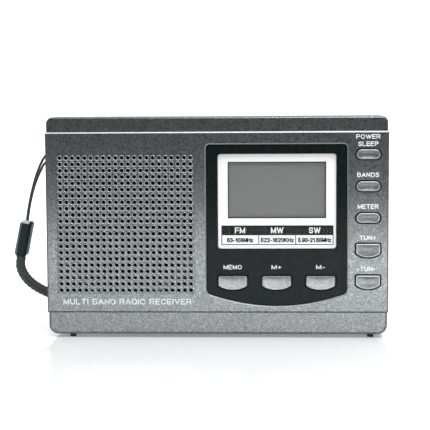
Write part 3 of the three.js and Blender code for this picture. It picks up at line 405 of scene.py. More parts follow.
CASE = metallic_paint("case_paint", 0.155, 0.92, 0.30, 0.6)
# A painted highlight for the rims of the grille's holes.
HOLE_RIM_HIGHLIGHT = metallic_paint("hole_rim_painted_highlight", 0.52, 0.6, 0.4, 0.2)
# A painted highlight for the chamfer along the panel's top edge.
PANEL_EDGE_HIGHLIGHT = metallic_paint("panel_edge_painted_highlight", 0.75, 0.8, 0.3, 0.08)
# A painted highlight for the chamfer round the bezel's opening.
OPENING_EDGE_HIGHLIGHT = metallic_paint("opening_edge_painted_highlight", 0.34, 0.6, 0.4, 0.1)
# The keys' paints carry painted shade on their upper parts and a painted highlight on their lower parts, as
# a dished face lit from above shows.
KEY_CASE = metallic_paint("side_key_paint", 0.19, 0.85, 0.36, 0.4, 0.35)
KEY_SILVER = metallic_paint("silver_key_paint", 0.28, 0.85, 0.42, 0.5, 0.4)
# A painted highlight for the side keys' rims.
KEY_RIM_HIGHLIGHT = metallic_paint("key_rim_painted_highlight", 0.40, 0.7, 0.35, 0.2)
BEZEL = moulded("bezel_black", (0.0055, 0.0095, 0.0095), 0.28, specular=0.08)
# Near-black: partly the basket's own paint, partly painted shade for the dark seen through the grille's
# holes.
BASKET = moulded("basket_black_paint_and_hole_shade", (0.014, 0.014, 0.015), 0.6)
DARK = moulded("dark_moulding", (0.022, 0.025, 0.027), 0.5)
FERRULE = moulded("ferrule_moulding", (0.014, 0.023, 0.024), 0.5, specular=0.15)
# A painted highlight for the ferrule's left-facing faces.
FERRULE_SIDE_HIGHLIGHT = moulded("ferrule_side_painted_highlight", (0.16, 0.17, 0.17), 0.4, specular=0.4)
RUBBER = moulded("black_rubber", (0.01, 0.01, 0.01), 0.7, 1800, 0.00004)
# The white card and the white ink below carry a painted glow, light of their own that stands in for light
# falling on them.
CARD = printed("white_card", (0.90, 0.91, 0.90), 0.16)
INK_BLACK = printed("black_ink", (0.012, 0.013, 0.014))
INK_WHITE = printed("white_ink", (0.88, 0.89, 0.89), 0.05)
INK_PALE = printed("pale_ink", (0.66, 0.74, 0.80))
BOARD = moulded("board_green", (0.02, 0.10, 0.045), 0.45)
STEEL = plated("plated_steel", (0.62, 0.63, 0.64), 0.3)
CHROME = plated("chrome_tube", (0.66, 0.67, 0.68), 0.16, (0.1, 6, 6))
PAPER = moulded("cone_paper", (0.012, 0.012, 0.012), 0.85, 900, 0.00006)
FERRITE = moulded("ferrite", (0.03, 0.03, 0.032), 0.75, 1400, 0.00005)
COPPER = plated("coil_wire", (0.62, 0.27, 0.14), 0.3, (60, 1, 1))
CELL = moulded("cell_wrap", (0.05, 0.075, 0.11), 0.3)
BRAID = woven("braid_yarn", (0.009, 0.014, 0.015), (0.085, 0.112, 0.118), 2600, 0.00008)
CORD_YARN = woven("cord_yarn", (0.014, 0.017, 0.018), (0.075, 0.085, 0.088), 3600, 0.00005)
# The grommet's pale paint, also used as a painted highlight on the ferrule's top.
PALE_GROMMET_AND_TOP_HIGHLIGHT = moulded("pale_grommet_and_ferrule_top_highlight", (0.62, 0.64, 0.64), 0.35)
WINDOW = clear_window()
DISPLAY = display_face()

# ---------------------------------------------------------------- wrist strap
CORD_D = 1.0 * MM
WEBBING_D = 3.0 * MM
ferrule_low, ferrule_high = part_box("strap_ferrule")
FERRULE_Y = (ferrule_low.y + ferrule_high.y) / 2 / MM
CORD_ROUTE = [
    (-72.45, FERRULE_Y - 0.75, 37.4), (-71.0, 15.1, 45.6), (-68.7, 12.2, 53.0), (-66.7, 9.9, 57.9),
    (-63.5, 7.6, 63.4), (-60.9, 6.3, 64.75), (-58.2, 5.9, 64.8), (-56.85, 6.15, 64.25),
    (-56.3, 6.4, 62.9), (-56.85, 6.65, 61.55), (-58.2, 6.9, 61.0), (-61.0, 7.6, 61.1),
    (-63.5, 9.2, 61.2), (-66.3, 11.6, 57.2), (-68.5, 13.7, 52.8), (-70.9, 16.4, 45.6),
    (-72.45, FERRULE_Y + 0.75, 37.4),
]
HANGING = [                        # X and Z, from the ferrule down to the floor
    (-74.5, 26.9), (-75.05, 22.2), (-74.3, 19.6), (-72.6, 17.0), (-70.5, 15.0), (-67.9, 13.3),
    (-64.9, 11.8), (-58.9, 8.9), (-51.9, 5.6), (-45.0, 3.0),
]
# The loop's two ends hang side by side, one behind the other: their Y at each point of HANGING.
PLY_OUT_Y = [14.75, 14.75, 14.8, 14.8, 14.9, 15.0, 15.1, 15.3, 15.6, 15.9]
PLY_BACK_Y = [18.25, 18.25, 18.25, 18.3, 18.4, 18.5, 18.6, 18.9, 19.7, 22.0]
FLOOR_Z = 1.6                      # height of the webbing's middle where it lies on the floor, in mm
FERRULE_WIDER = 1.12
LOOP_X, LOOP_Y, LOOP_R = -16.0, 27.2, 11.0


def webbing_route():
    lying = [(-39.0, 16.1), (-31.0, 16.2), (-23.0, 16.2)]
    for degrees in range(-90, 91, 30):
        turn = math.radians(degrees)
        lying.append((LOOP_X + math.cos(turn) * LOOP_R, LOOP_Y + math.sin(turn) * LOOP_R))
    lying += [(-24.5, 36.6), (-32.0, 32.2), (-39.5, 26.6)]
    out = [(x, y, z) for (x, z), y in zip(HANGING, PLY_OUT_Y)]
    back = [(x, y, z) for (x, z), y in zip(HANGING, PLY_BACK_Y)]
    return out + [(x, y, FLOOR_Z) for x, y in lying] + back[::-1]


def in_metres(route):
    return [Vector(p) * MM for p in route]


def widen_ferrule_and_paint_highlights(mesh):
    """Widens the ferrule a little, and paints highlights on its left-facing faces and its top."""
    middle = (ferrule_low + ferrule_high) / 2
    for v in mesh.vertices:
        v.co.x = middle.x + (v.co.x - middle.x) * FERRULE_WIDER
    mesh.materials.append(FERRULE_SIDE_HIGHLIGHT)
    mesh.materials.append(PALE_GROMMET_AND_TOP_HIGHLIGHT)
    # Painted highlights: left-facing faces get a paler moulding, and the upward faces at the top get the
    # grommet's pale paint, standing for light caught on them.
    for polygon in mesh.polygons:
        x, y, z = polygon.normal
        if z > 0.3 and x < 0.25 and polygon.center.z > middle.z + 5 * MM:
            polygon.material_index = 2
        elif x < -0.3:
            polygon.material_index = 1


def make_strap():
    cord_path, cord_length = spline_points(in_metres(CORD_ROUTE), 0.16 * MM)
    cord_mesh = braided_tube("strap_cord_braid", cord_path, CORD_D / 2, 16, 3, 1.5 * MM, 0.10 * MM)
    cord = finish_piece(new_object("strap_cord_braid", cord_mesh), "case", CORD_YARN,
                        ["strap_cord"])
    loop_path, loop_length = spline_points(in_metres(webbing_route()), 0.24 * MM)
    loop_mesh = braided_tube("strap_loop_braid", loop_path, WEBBING_D / 2, 32, 6, 3.2 * MM, 0.36 * MM)
    loop = finish_piece(new_object("strap_loop_braid", loop_mesh), "case", BRAID,
                        ["strap_webbing"])
    ferrule = finish_piece(refined("strap_ferrule", "strap_ferrule_body", 0.8 * MM, 1), "case", FERRULE,
                           ["strap_ferrule"])
    widen_ferrule_and_paint_highlights(ferrule.data)
    print("strap cord", round(cord_length, 4), "loop", round(loop_length, 4))


make_strap()

# ---------------------------------------------------------------- front shell with its drilled field
GRILLE_COUNT = 22
GRILLE_SPAN = 21.86                # the drilled plate's width and height in hole pitches
HOLE_RINGS = [                     # radius and height in front of the panel, in mm, hole to panel
    (0.47, -1.45), (0.47, -0.35), (0.53, -0.22), (0.72, -0.06), (0.77, 0.03), (0.84, 0.07),
    (0.91, 0.03), (0.96, 0.0),
]
RIM_FROM, RIM_TO = 0.72, 0.87      # radii between which the rim's painted highlight shows, in mm
RING_SIDES = 16


def drilled_field(opening_low, opening_high):
    """The square field of rimmed round holes that fills the opening in the front shell."""
    low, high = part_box("speaker_grille")
    face = low.y
    centre_x = (low.x + high.x) / 2
    centre_z = (low.z + high.z) / 2
    pitch_x = (high.x - low.x) / GRILLE_SPAN
    pitch_z = (high.z - low.z) / GRILLE_SPAN
    points = []
    faces = []
    for row in range(GRILLE_COUNT):
        for column in range(GRILLE_COUNT):
            x = centre_x + (column - (GRILLE_COUNT - 1) / 2) * pitch_x
            z = centre_z + (row - (GRILLE_COUNT - 1) / 2) * pitch_z
            left = opening_low[0] if column == 0 else x - pitch_x / 2
            right = opening_high[0] if column == GRILLE_COUNT - 1 else x + pitch_x / 2
            bottom = opening_low[1] if row == 0 else z - pitch_z / 2
            top = opening_high[1] if row == GRILLE_COUNT - 1 else z + pitch_z / 2
            start = len(points)
            for radius, height in HOLE_RINGS:
                for j in range(RING_SIDES):
                    turn = 2 * math.pi * j / RING_SIDES
                    points.append((
                        x + math.cos(turn) * radius * MM,
                        face - height * MM,
                        z + math.sin(turn) * radius * MM,
                    ))
            for j in range(RING_SIDES):
                turn = 2 * math.pi * j / RING_SIDES
                reach = 1 / max(abs(math.cos(turn)), abs(math.sin(turn)))
                across = math.cos(turn) * reach
                upward = math.sin(turn) * reach
                points.append((
                    x + across * (right - x if across > 0 else x - left),
                    face,
                    z + upward * (top - z if upward > 0 else z - bottom),
                ))
            for ring in range(len(HOLE_RINGS)):
                for j in range(RING_SIDES):
                    k = (j + 1) % RING_SIDES
                    a = start + ring * RING_SIDES
                    b = a + RING_SIDES
                    faces.append((a + j, b + j, b + k, a + k))
    return mesh_from("drilled_field", points, faces, smooth=50)


def grille_opening():
    low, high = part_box("speaker_grille")
    play = 0.3 * MM
    return (low.x - play, low.z - play), (high.x + play, high.z + play)


PANEL_TOP = 72.7 * MM
EDGE_LINE = 0.4 * MM               # width of the cut edges
EDGE_FRONT = -12.4 * MM            # cut edges lie in front of this
SLANT_FRONT = -12.0 * MM           # and so do the faces that the cuts leave
BEZEL_REACH = 0.8 * MM
bezel_low, bezel_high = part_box("display_bezel")


def round_bezel(co):
    """Whether a place is in the bezel's rectangle, or just outside it."""
    across = bezel_low.x - BEZEL_REACH < co.x < bezel_high.x + BEZEL_REACH
    return across and bezel_low.z - BEZEL_REACH < co.z < bezel_high.z + BEZEL_REACH


def on_cut_edge(co):
    """On the panel's top edge, or on the edge of the opening round the bezel."""
    return co.y < EDGE_FRONT and (abs(co.z - PANEL_TOP) < 0.02 * MM or round_bezel(co))


shell = refined("front_shell", "front_moulding", 0.12 * MM, 2, chamfer=(on_cut_edge, EDGE_LINE))
field = new_object("drilled_field", drilled_field(*grille_opening()))
finish_piece(shell, "case", CASE, ["front_shell"])
shell.data.materials.append(PANEL_EDGE_HIGHLIGHT)
shell.data.materials.append(OPENING_EDGE_HIGHLIGHT)
# Painted highlights: the chamfer along the panel's top and the chamfer round the bezel's opening get paler
# paints that stand for light caught on these edges.
for polygon in shell.data.polygons:
    slanted = -0.95 < polygon.normal.y < -0.4 and polygon.center.y < SLANT_FRONT
    at_top = PANEL_TOP - EDGE_LINE < polygon.center.z < PANEL_TOP + 0.1 * MM
    if slanted and at_top and polygon.normal.z > 0.4:
        polygon.material_index = 1
    elif slanted and round_bezel(polygon.center):
        polygon.material_index = 2
finish_piece(field, "case", CASE, ["speaker_grille"])
field.data.materials.append(HOLE_RIM_HIGHLIGHT)
# Painted highlight: the rims of the holes get a paler paint that stands for light caught on them.
for polygon in field.data.polygons:
    ring = polygon.index // RING_SIDES % len(HOLE_RINGS)
    if RIM_FROM <= HOLE_RINGS[ring][0] < RIM_TO:
        polygon.material_index = 1

# ---------------------------------------------------------------- keys with dished faces
DISH_STEPS = 5
CAP_PLAY = 0.08                    # how much smaller the cap's edge is drawn, in mm
CAP_BACK = 0.6 * MM                # how much of the node's depth the cap leaves free behind it
RIM_RINGS = range(2, 5)            # the rings of faces, counted from the back, that the rim's painted highlight covers


def key_outline(node):
    """The cap's outline in X and Z, taken from its front face, in order round the middle."""
    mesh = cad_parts[node].data
    low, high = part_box(node)
    edge = [v.co for v in mesh.vertices if low.y + 0.3 * MM < v.co.y < low.y + 0.4 * MM]
    middle = Vector(((low.x + high.x) / 2, 0, (low.z + high.z) / 2))
    seen = {}
    for co in edge:
        seen[(round(co.x, 6), round(co.z, 6))] = math.atan2(co.z - middle.z, co.x - middle.x)
    return [Vector((x, z)) for x, z in sorted(seen, key=seen.get)]


def inset(outline, distance):
    """The outline moved inwards by a distance."""
    count = len(outline)
    moved = []
    for i, here in enumerate(outline):
        before = (here - outline[i - 1]).normalized()
        after = (outline[(i + 1) % count] - here).normalized()
        inward_a = Vector((-before.y, before.x))
        inward_b = Vector((-after.y, after.x))
        bisector = (inward_a + inward_b).normalized()
        moved.append(here + bisector * distance / max(0.5, bisector.dot(inward_a)))
    return moved


def dished_key(node, name, depth, rim):
    """A cap with a rounded rim, painted with a highlight on the side keys, and a face that dips towards its
    middle.
    """
    low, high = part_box(node)
    outline = key_outline(node)
    rings = [
        (0.0, high.y - CAP_BACK), (0.0, low.y + 0.36 * MM), (0.06, low.y + 0.2 * MM),
        (0.18, low.y + 0.05 * MM), (0.3, low.y), (rim, low.y + 0.01 * MM),
    ]
    points = []
    faces = []
    count = len(outline)
    for distance, y in rings:
        ring = inset(outline, (distance + CAP_PLAY) * MM)
        points += [(p.x, y, p.y) for p in ring]
    # The dish narrows towards the middle, because a bowed outline would cross itself if it were inset.
    middle = sum(ring, Vector((0, 0))) / count
    for step in range(1, DISH_STEPS + 1):
        part = step / DISH_STEPS
        deep = low.y + 0.01 * MM + depth * (1 - (1 - part) ** 2)
        inner = [middle + (p - middle) * (1 - part * 0.9) for p in ring]
        points += [(p.x, deep, p.y) for p in inner]
        rings.append((rim, deep))
    for i in range(len(rings) - 1):
        for j in range(count):
            k = (j + 1) % count
            faces.append((i * count + j, i * count + k, (i + 1) * count + k, (i + 1) * count + j))
    faces.append(tuple(range((len(rings) - 1) * count, len(rings) * count)))
    faces.append(tuple(reversed(range(count))))
    cap = new_object(name, mesh_from(name, points, faces, smooth=40))
    finish_piece(cap, node, KEY_SILVER if node in BEZEL_KEYS else KEY_CASE, [node])
    if node in SIDE_KEYS:
        # Painted highlight: the side keys' rims get a paler paint that stands for light caught on their
        # bevel.
        cap.data.materials.append(KEY_RIM_HIGHLIGHT)
        for polygon in cap.data.polygons:
            if polygon.index // count in RIM_RINGS:
                polygon.material_index = 1


SIDE_KEYS = ["key_power", "key_bands", "key_meter", "key_tune_up", "key_tune_down"]
BEZEL_KEYS = ["key_memo", "key_m_plus", "key_m_minus"]
for node in SIDE_KEYS:
    dished_key(node, node + "_cap", 0.30 * MM, 0.46)
for node in BEZEL_KEYS:
    dished_key(node, node + "_cap", 0.22 * MM, 0.5)

# ---------------------------------------------------------------- other pieces refined from their nodes
REFINED = [                        # node, rounding in mm, body, material, slot
    ("display_bezel", 0.3, "case", BEZEL, "bezel_black"),
    ("rear_shell", 0.16, "case", CASE, "case_paint"),
    ("battery_door", 0.2, "battery_door", CASE, "case_paint"),
    ("kickstand", 0.25, "kickstand", CASE, "case_paint"),
    ("volume_wheel", 0.12, "volume_wheel", DARK, "dark_plastic"),
    ("antenna_swivel", 0.12, "antenna_swivel", CHROME, "antenna_chrome"),
    ("antenna_tube_1", 0.08, "antenna_base", CHROME, "antenna_chrome"),
    ("antenna_tube_2", 0.06, "antenna_section_2", CHROME, "antenna_chrome"),
    ("antenna_tube_3", 0.06, "antenna_section_3", CHROME, "antenna_chrome"),
    ("antenna_tube_4", 0.05, "antenna_section_4", CHROME, "antenna_chrome"),
    ("antenna_tip", 0.3, "antenna_rod", CHROME, "antenna_chrome"),
    ("earphone_socket", 0.1, "case", DARK, "dark_plastic"),
    ("supply_socket", 0.1, "case", DARK, "dark_plastic"),
]
for node, edge, body, material, slot in REFINED:
    finish_piece(refined(node, node + "_fine", edge * MM), body, material, [node])

KEPT = {                           # nodes that keep their mesh
    "window_lens": WINDOW, "dial_card": CARD, "lcd_glass": DISPLAY, "lcd_connector": RUBBER,
    "main_board": BOARD, "socket_board": BOARD, "receiver_chip": DARK, "speaker_basket": BASKET,
    "speaker_cone": PAPER, "speaker_magnet": STEEL, "ferrite_rod": FERRITE, "ferrite_coil": COPPER,
    "battery_cell_lower": CELL, "battery_cell_upper": CELL, "battery_bridge": STEEL,
    "battery_spring": STEEL, "battery_plate": STEEL, "volume_control": STEEL,
    "case_screw_top_left": STEEL, "case_screw_top_right": STEEL, "case_screw_bottom_left": STEEL,
    "case_screw_bottom_middle": STEEL, "foot_front_left": RUBBER, "foot_front_right": RUBBER,
    "foot_rear_left": RUBBER, "foot_rear_right": RUBBER, "switch_power": DARK, "switch_bands": DARK,
    "switch_meter": DARK, "switch_tune_up": DARK, "switch_tune_down": DARK, "switch_memo": DARK,
    "switch_m_plus": DARK, "switch_m_minus": DARK,
}
for node, material in KEPT.items():
    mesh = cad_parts[node].data
    mesh.materials.clear()
    mesh.materials.append(material)

# ---------------------------------------------------------------- printed legends
LIGHT, MEDIUM, HEAVY = 0.075, 0.085, 0.115     # half a stroke's thickness as a part of the letters' height
LABEL_SHIFT = 0.07 * MM            # side keys' labels stand this much to the right of their keys
PATCH_THICK = 0.05 * MM
TABLE_X = [1.64, 14.73, 27.69, 40.91]          # upright rules of the card's table, in mm
TABLE_Z = [32.9, 36.3, 39.75]      # its lower edge, the header's lower edge and its top, in mm
RULE = 0.28                        # thickness of the rules, in mm
DISPLAY_OPENING = (3.95, 38.3, 42.3, 62.1)     # left, right, bottom and top, in mm
PRINT_LIFT = 0.03 * MM             # how far letters stand in front of their surface
DOT_LIFT = 1.1                     # the strokes' round ends stand a little further forward, by this factor
DOT_SIDES = 10
LETTER_H = 6.0                     # letters are drawn on a grid of this height
LETTER_GAP = 1.75
OVAL_SIDES = 18


def text_mesh(name, words, centre_x, centre_z, height, width, y, weight):
    """Flat letters facing the front, of a given overall height and width, in metres.

    weight is half the stroke's thickness, as a part of the letters' height.
    """
    half = weight * height
    lines = []
    pen = 0.0
    for letter in words:
        letter_width, strokes = LETTERS[letter]
        lines += [[(pen + px, pz) for px, pz in stroke] for stroke in strokes]
        pen += letter_width + LETTER_GAP
    scale_x = (width - 2 * half) / (pen - LETTER_GAP)
    scale_z = (height - 2 * half) / LETTER_H
    left = centre_x - width / 2 + half
    bottom = centre_z - height / 2 + half
    points = []
    faces = []
    for line in lines:
        placed = [Vector((left + px * scale_x, bottom + pz * scale_z)) for px, pz in line]
        for a, b in zip(placed, placed[1:]):
            across = Vector((a.y - b.y, b.x - a.x)).normalized() * half
            start = len(points)
            points += [(p.x, y - PRINT_LIFT, p.y) for p in (a - across, b - across, b + across, a + across)]
            faces.append((start, start + 1, start + 2, start + 3))
        for p in placed:
            start = len(points)
            for j in range(DOT_SIDES):
                turn = 2 * math.pi * j / DOT_SIDES
                points.append((
                    p.x + math.cos(turn) * half,
                    y - PRINT_LIFT * DOT_LIFT,
                    p.y + math.sin(turn) * half,
                ))
            faces.append(tuple(range(start, start + DOT_SIDES)))
    mesh = bpy.data.meshes.new(name)
    mesh.from_pydata(points, [], faces)
    return mesh


def oval(width, height=LETTER_H):
    """A closed rounded letter form."""
    points = []
    for j in range(OVAL_SIDES + 1):
        turn = 2 * math.pi * j / OVAL_SIDES
        c, s = math.cos(turn), math.sin(turn)
        points.append((width / 2 * (1 + c), height / 2 * (1 + s)))
    return points


SIX = [(3.1, 4.9), (2.6, 5.8), (1.6, 6), (0.5, 5.2), (0, 3.2), (0.1, 1.5), (0.8, 0.3), (1.7, 0),
       (2.8, 0.5), (3.2, 1.8), (2.8, 3.1), (1.7, 3.6), (0.6, 3.1), (0.1, 2.0)]
P_FORM = [(0, 0), (0, 6), (2.6, 6), (3.5, 5.5), (3.7, 4.4), (3.5, 3.3), (2.6, 2.8), (0, 2.8)]
LETTERS = {                        # width, then strokes as lines of points
    " ": (1.2, []),
    "A": (4.2, [[(0, 0), (2.1, 6), (4.2, 0)], [(0.8, 2.0), (3.4, 2.0)]]),
    "B": (3.7, [[(0, 0), (0, 6), (2.5, 6), (3.4, 5.4), (3.4, 3.9), (2.5, 3.25), (0, 3.25)],
                [(2.5, 3.25), (3.7, 2.5), (3.7, 0.8), (2.6, 0), (0, 0)]]),
    "C": (3.9, [[(3.9, 4.5), (3.3, 5.6), (2.1, 6), (0.9, 5.6), (0.1, 4.4), (0, 3), (0.1, 1.6),
                 (0.9, 0.4), (2.1, 0), (3.3, 0.4), (3.9, 1.5)]]),
    "D": (3.8, [[(0, 0), (0, 6), (2, 6), (3.3, 5.4), (3.8, 4.2), (3.8, 1.8), (3.3, 0.6), (2, 0), (0, 0)]]),
    "E": (3.4, [[(3.4, 6), (0, 6), (0, 0), (3.4, 0)], [(0, 3.2), (3.1, 3.2)]]),
    "F": (3.2, [[(3.2, 6), (0, 6), (0, 0)], [(0, 3.1), (2.8, 3.1)]]),
    "H": (3.7, [[(0, 0), (0, 6)], [(3.7, 0), (3.7, 6)], [(0, 3.1), (3.7, 3.1)]]),
    "I": (0.1, [[(0, 0), (0, 6)]]),
    "K": (3.8, [[(0, 0), (0, 6)], [(3.6, 6), (0, 2.2)], [(1.3, 3.5), (3.8, 0)]]),
    "L": (3.2, [[(0, 6), (0, 0), (3.2, 0)]]),
    "M": (4.5, [[(0, 0), (0, 6), (2.25, 0.5), (4.5, 6), (4.5, 0)]]),
    "N": (3.7, [[(0, 0), (0, 6), (3.7, 0), (3.7, 6)]]),
    "O": (4.4, [oval(4.4)]),
    "P": (3.7, [P_FORM]),
    "R": (3.9, [P_FORM, [(2.2, 2.8), (3.9, 0)]]),
    "S": (3.7, [[(3.5, 4.7), (3.1, 5.6), (1.9, 6), (0.6, 5.6), (0.2, 4.6), (0.7, 3.6), (1.9, 3.1),
                 (3.2, 2.6), (3.7, 1.6), (3.2, 0.5), (1.9, 0), (0.5, 0.4), (0, 1.5)]]),
    "T": (4.0, [[(0, 6), (4, 6)], [(2, 6), (2, 0)]]),
    "U": (3.8, [[(0, 6), (0, 1.8), (0.5, 0.6), (1.9, 0), (3.3, 0.6), (3.8, 1.8), (3.8, 6)]]),
    "V": (4.0, [[(0, 6), (2, 0), (4, 6)]]),
    "W": (6.0, [[(0, 6), (1.5, 0), (3.0, 5.6), (4.5, 0), (6.0, 6)]]),
    "z": (2.8, [[(0, 4), (2.7, 4), (0, 0), (2.8, 0)]]),
    "+": (3.2, [[(0, 2.8), (3.2, 2.8)], [(1.6, 4.8), (1.6, 0.8)]]),
    "-": (2.0, [[(0, 2.4), (2, 2.4)]]),
    ".": (0.1, [[(0, 0), (0.1, 0)]]),
    "0": (3.3, [oval(3.3)]),
    "1": (1.7, [[(0, 4.6), (1.6, 6), (1.6, 0)]]),
    "2": (3.3, [[(0, 4.6), (0.4, 5.6), (1.6, 6), (2.9, 5.5), (3.2, 4.4), (2.6, 3), (0, 0), (3.3, 0)]]),
    "3": (3.3, [[(0, 4.8), (0.5, 5.7), (1.6, 6), (2.8, 5.5), (3, 4.5), (2.5, 3.5), (1.4, 3.2)],
                [(1.4, 3.2), (2.8, 2.8), (3.3, 1.7), (2.8, 0.5), (1.6, 0), (0.4, 0.4), (0, 1.4)]]),
    "5": (3.3, [[(3.1, 6), (0.6, 6), (0.2, 3.1), (1.6, 3.7), (2.9, 3.1), (3.3, 1.9), (2.8, 0.6),
                 (1.5, 0), (0.3, 0.5), (0, 1.4)]]),
    "6": (3.3, [SIX]),
    "8": (3.3, [[(1.65, 3.3), (0.6, 3.7), (0.3, 4.6), (0.7, 5.6), (1.65, 6), (2.6, 5.6), (3, 4.6),
                 (2.7, 3.7), (1.65, 3.3)],
                [(1.65, 3.3), (0.4, 2.7), (0, 1.7), (0.5, 0.5), (1.65, 0), (2.8, 0.5), (3.3, 1.7),
                 (2.9, 2.7), (1.65, 3.3)]]),
    "9": (3.3, [[(3.3 - x, 6 - z) for x, z in SIX]]),
}


def plate_mesh(name, x, z, y):
    """A thin printed patch on the surface at y."""
    front = y - PATCH_THICK
    points = [(x[i], yy, z[j]) for yy in (y, front) for i, j in ((0, 0), (1, 0), (1, 1), (0, 1))]
    faces = [(0, 1, 2, 3), (7, 6, 5, 4), (0, 4, 5, 1), (1, 5, 6, 2), (2, 6, 7, 3), (3, 7, 4, 0)]
    return mesh_from(name, points, faces)


def legend(name, meshes, material):
    """One printed piece on the case, joined from the meshes."""
    work = bmesh.new()
    for mesh in meshes:
        work.from_mesh(mesh)
        bpy.data.meshes.remove(mesh)
    bmesh.ops.recalc_face_normals(work, faces=work.faces)
    joined = bpy.data.meshes.new(name)
    work.to_mesh(joined)
    work.free()
    return finish_piece(new_object(name, joined), "case", material)


def middle_x(node):
    low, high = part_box(node)
    return (low.x + high.x) / 2


def key_centre_z(key):
    heights = [p.y for p in key_outline(key)]
    return (max(heights) + min(heights)) / 2


def case_legends():
    panel_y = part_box("speaker_grille")[0].y
    meshes = []
    labels = [                     # key, words, height above the key's middle, width, letter height (mm)
        ("key_power", "POWER", 6.1, 8.4, 1.6), ("key_power", "SLEEP", 3.6, 7.0, 1.6),
        ("key_bands", "BANDS", 3.98, 7.6, 1.6), ("key_meter", "METER", 3.98, 7.2, 1.6),
        ("key_tune_up", "TUN+", 4.5, 5.8, 1.5), ("key_tune_down", "TUN-", 4.72, 5.2, 1.5),
    ]
    for key, words, above, width, height in labels:
        x = middle_x(key) + LABEL_SHIFT
        z = key_centre_z(key) + above * MM
        meshes.append(text_mesh(key, words, x, z, height * MM, width * MM, panel_y, MEDIUM))
    return legend("case_legends", meshes, INK_WHITE)


def bezel_legends():
    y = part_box("display_bezel")[0].y
    meshes = []
    for key, words, width in (("key_memo", "MEMO", 6.4), ("key_m_plus", "M+", 3.5),
                              ("key_m_minus", "M-", 3.1)):
        z = key_centre_z(key) + 5.55 * MM
        meshes.append(text_mesh(key, words, middle_x(key), z, 1.55 * MM, width * MM, y, LIGHT))
    return legend("bezel_legends", meshes, INK_WHITE)


def painted_display_shadow():
    """Black strips round the display's opening, a painted shadow of the window's depth: left, right, bottom,
    top.
    """
    low_x, high_x, low_z, high_z = DISPLAY_OPENING
    return [
        (low_x, low_x + RULE, low_z, high_z), (high_x - RULE, high_x, low_z, high_z),
        (low_x, high_x, low_z, low_z + RULE), (low_x, high_x, high_z - RULE, high_z),
    ]


def card_print():
    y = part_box("dial_card")[0].y
    left, second, third, right = TABLE_X
    bottom, middle, top = TABLE_Z
    black = [plate_mesh("header", [left * MM, right * MM], [middle * MM, top * MM], y)]
    rules = [
        (left, left + RULE, bottom, middle),
        (right - RULE, right, bottom, middle),
        (second - RULE / 2, second + RULE / 2, bottom, middle),
        (third - RULE / 2, third + RULE / 2, bottom, middle),
        (left, right, bottom, bottom + RULE),
    ]
    # The table's rules are print; the strips round the display's opening are painted shadow.
    for x0, x1, z0, z1 in rules + painted_display_shadow():
        black.append(plate_mesh("rule", [x0 * MM, x1 * MM], [z0 * MM, z1 * MM], y))
    cells = [                      # band and its width in mm, tuning range and its width in mm
        ("FM", 3.6, "63-108MHz", 9.3), ("MW", 4.4, "522-1620KHz", 11.7),
        ("SW", 4.1, "5.90-21.85MHz", 11.7),
    ]
    head_z = (middle + top) / 2 * MM
    cell_z = (bottom + middle) / 2 * MM
    white = []
    for i, (band, band_w, span, span_w) in enumerate(cells):
        x = (TABLE_X[i] + TABLE_X[i + 1]) / 2 * MM
        white.append(text_mesh("band", band, x, head_z, 2.15 * MM, band_w * MM, y - 0.06 * MM, MEDIUM))
        black.append(text_mesh("span", span, x, cell_z, 1.65 * MM, span_w * MM, y - 0.02 * MM, HEAVY))
    legend("card_black_print_and_display_shadow", black, INK_BLACK)
    legend("card_white_print", white, INK_WHITE)


def descriptor():
    low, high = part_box("speaker_grille")
    x = (low.x + high.x) / 2 + 0.35 * MM
    mesh = text_mesh("descriptor", "MULTI BAND RADIO RECEIVER", x, low.z - 3.1 * MM, 2.05 * MM,
                     45.3 * MM, low.y, MEDIUM)
    return legend("descriptor", [mesh], INK_PALE)


case_legends()
bezel_legends()
card_print()
descriptor()


# ---------------------------------------------------------------- grommet where the cord enters its ferrule
GROMMET_SIDES = 24
GROMMET_UP = 6.75 * MM             # from the ferrule's middle, along its axis
FERRULE_TILT = math.radians(10.3)
STRAND_GAP = 0.75                  # from the ferrule's middle plane to each strand, in mm


def cord_grommet():
    """A small pale ring round the two strands, on the ferrule's top."""
    low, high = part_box("strap_ferrule")
    axis = Vector((math.sin(FERRULE_TILT), 0, math.cos(FERRULE_TILT)))
    across = Vector((axis.z, 0, -axis.x))
    deep = Vector((0, 1, 0))
    top = (low + high) / 2 + axis * GROMMET_UP
    profile = [(0.55, -0.6), (0.55, 0.05), (0.75, 0.16), (1.0, 0.02), (1.15, -0.35), (1.15, -0.7)]
    points = []
    faces = []
    for radius, height in profile:
        for j in range(GROMMET_SIDES):
            turn = 2 * math.pi * j / GROMMET_SIDES
            stretch = STRAND_GAP if math.sin(turn) > 0 else -STRAND_GAP
            points.append(top + axis * height * MM + across * math.cos(turn) * radius * MM
                          + deep * (math.sin(turn) * radius + stretch) * MM)
    for i in range(len(profile) - 1):
        for j in range(GROMMET_SIDES):
            k = (j + 1) % GROMMET_SIDES
            a = i * GROMMET_SIDES
            b = a + GROMMET_SIDES
            faces.append((a + j, a + k, b + k, b + j))
    return finish_piece(new_object("cord_grommet", mesh_from("cord_grommet", points, faces)), "case",
                        PALE_GROMMET_AND_TOP_HIGHLIGHT)


cord_grommet()


# ---------------------------------------------------------------- floor, backdrop and lights
FLOOR_DIM = -0.32                  # the floor is dim in front of this Y, in metres
FLOOR_BRIGHT = -0.14               # and bright and glowing behind this one
FLOOR_GLOW = 0.22
SWEEP_STEPS = 12
WORLD_LIGHT = 0.22
LIGHTS = [                         # name, place, what it points at, size (all in metres), power in watts
    ("overhead", (0.1, 0.1, 0.8), (0, 0.05, 0), 0.9, 4.2),
    ("key", (0.2, -0.45, 0.62), (0.02, 0, 0.03), 0.45, 4.4),
    ("backdrop", (0.0, 0.6, 1.0), (0, 1.6, 0.5), 1.6, 26.0),
]
STRIP_AT = (0.02, -0.15, 0.005)    # a long low lamp that lights the lower part of the front
STRIP_SIZE = (0.5, 0.04)
STRIP_POWER = 0.075
STRIP_SPREAD = math.radians(80)


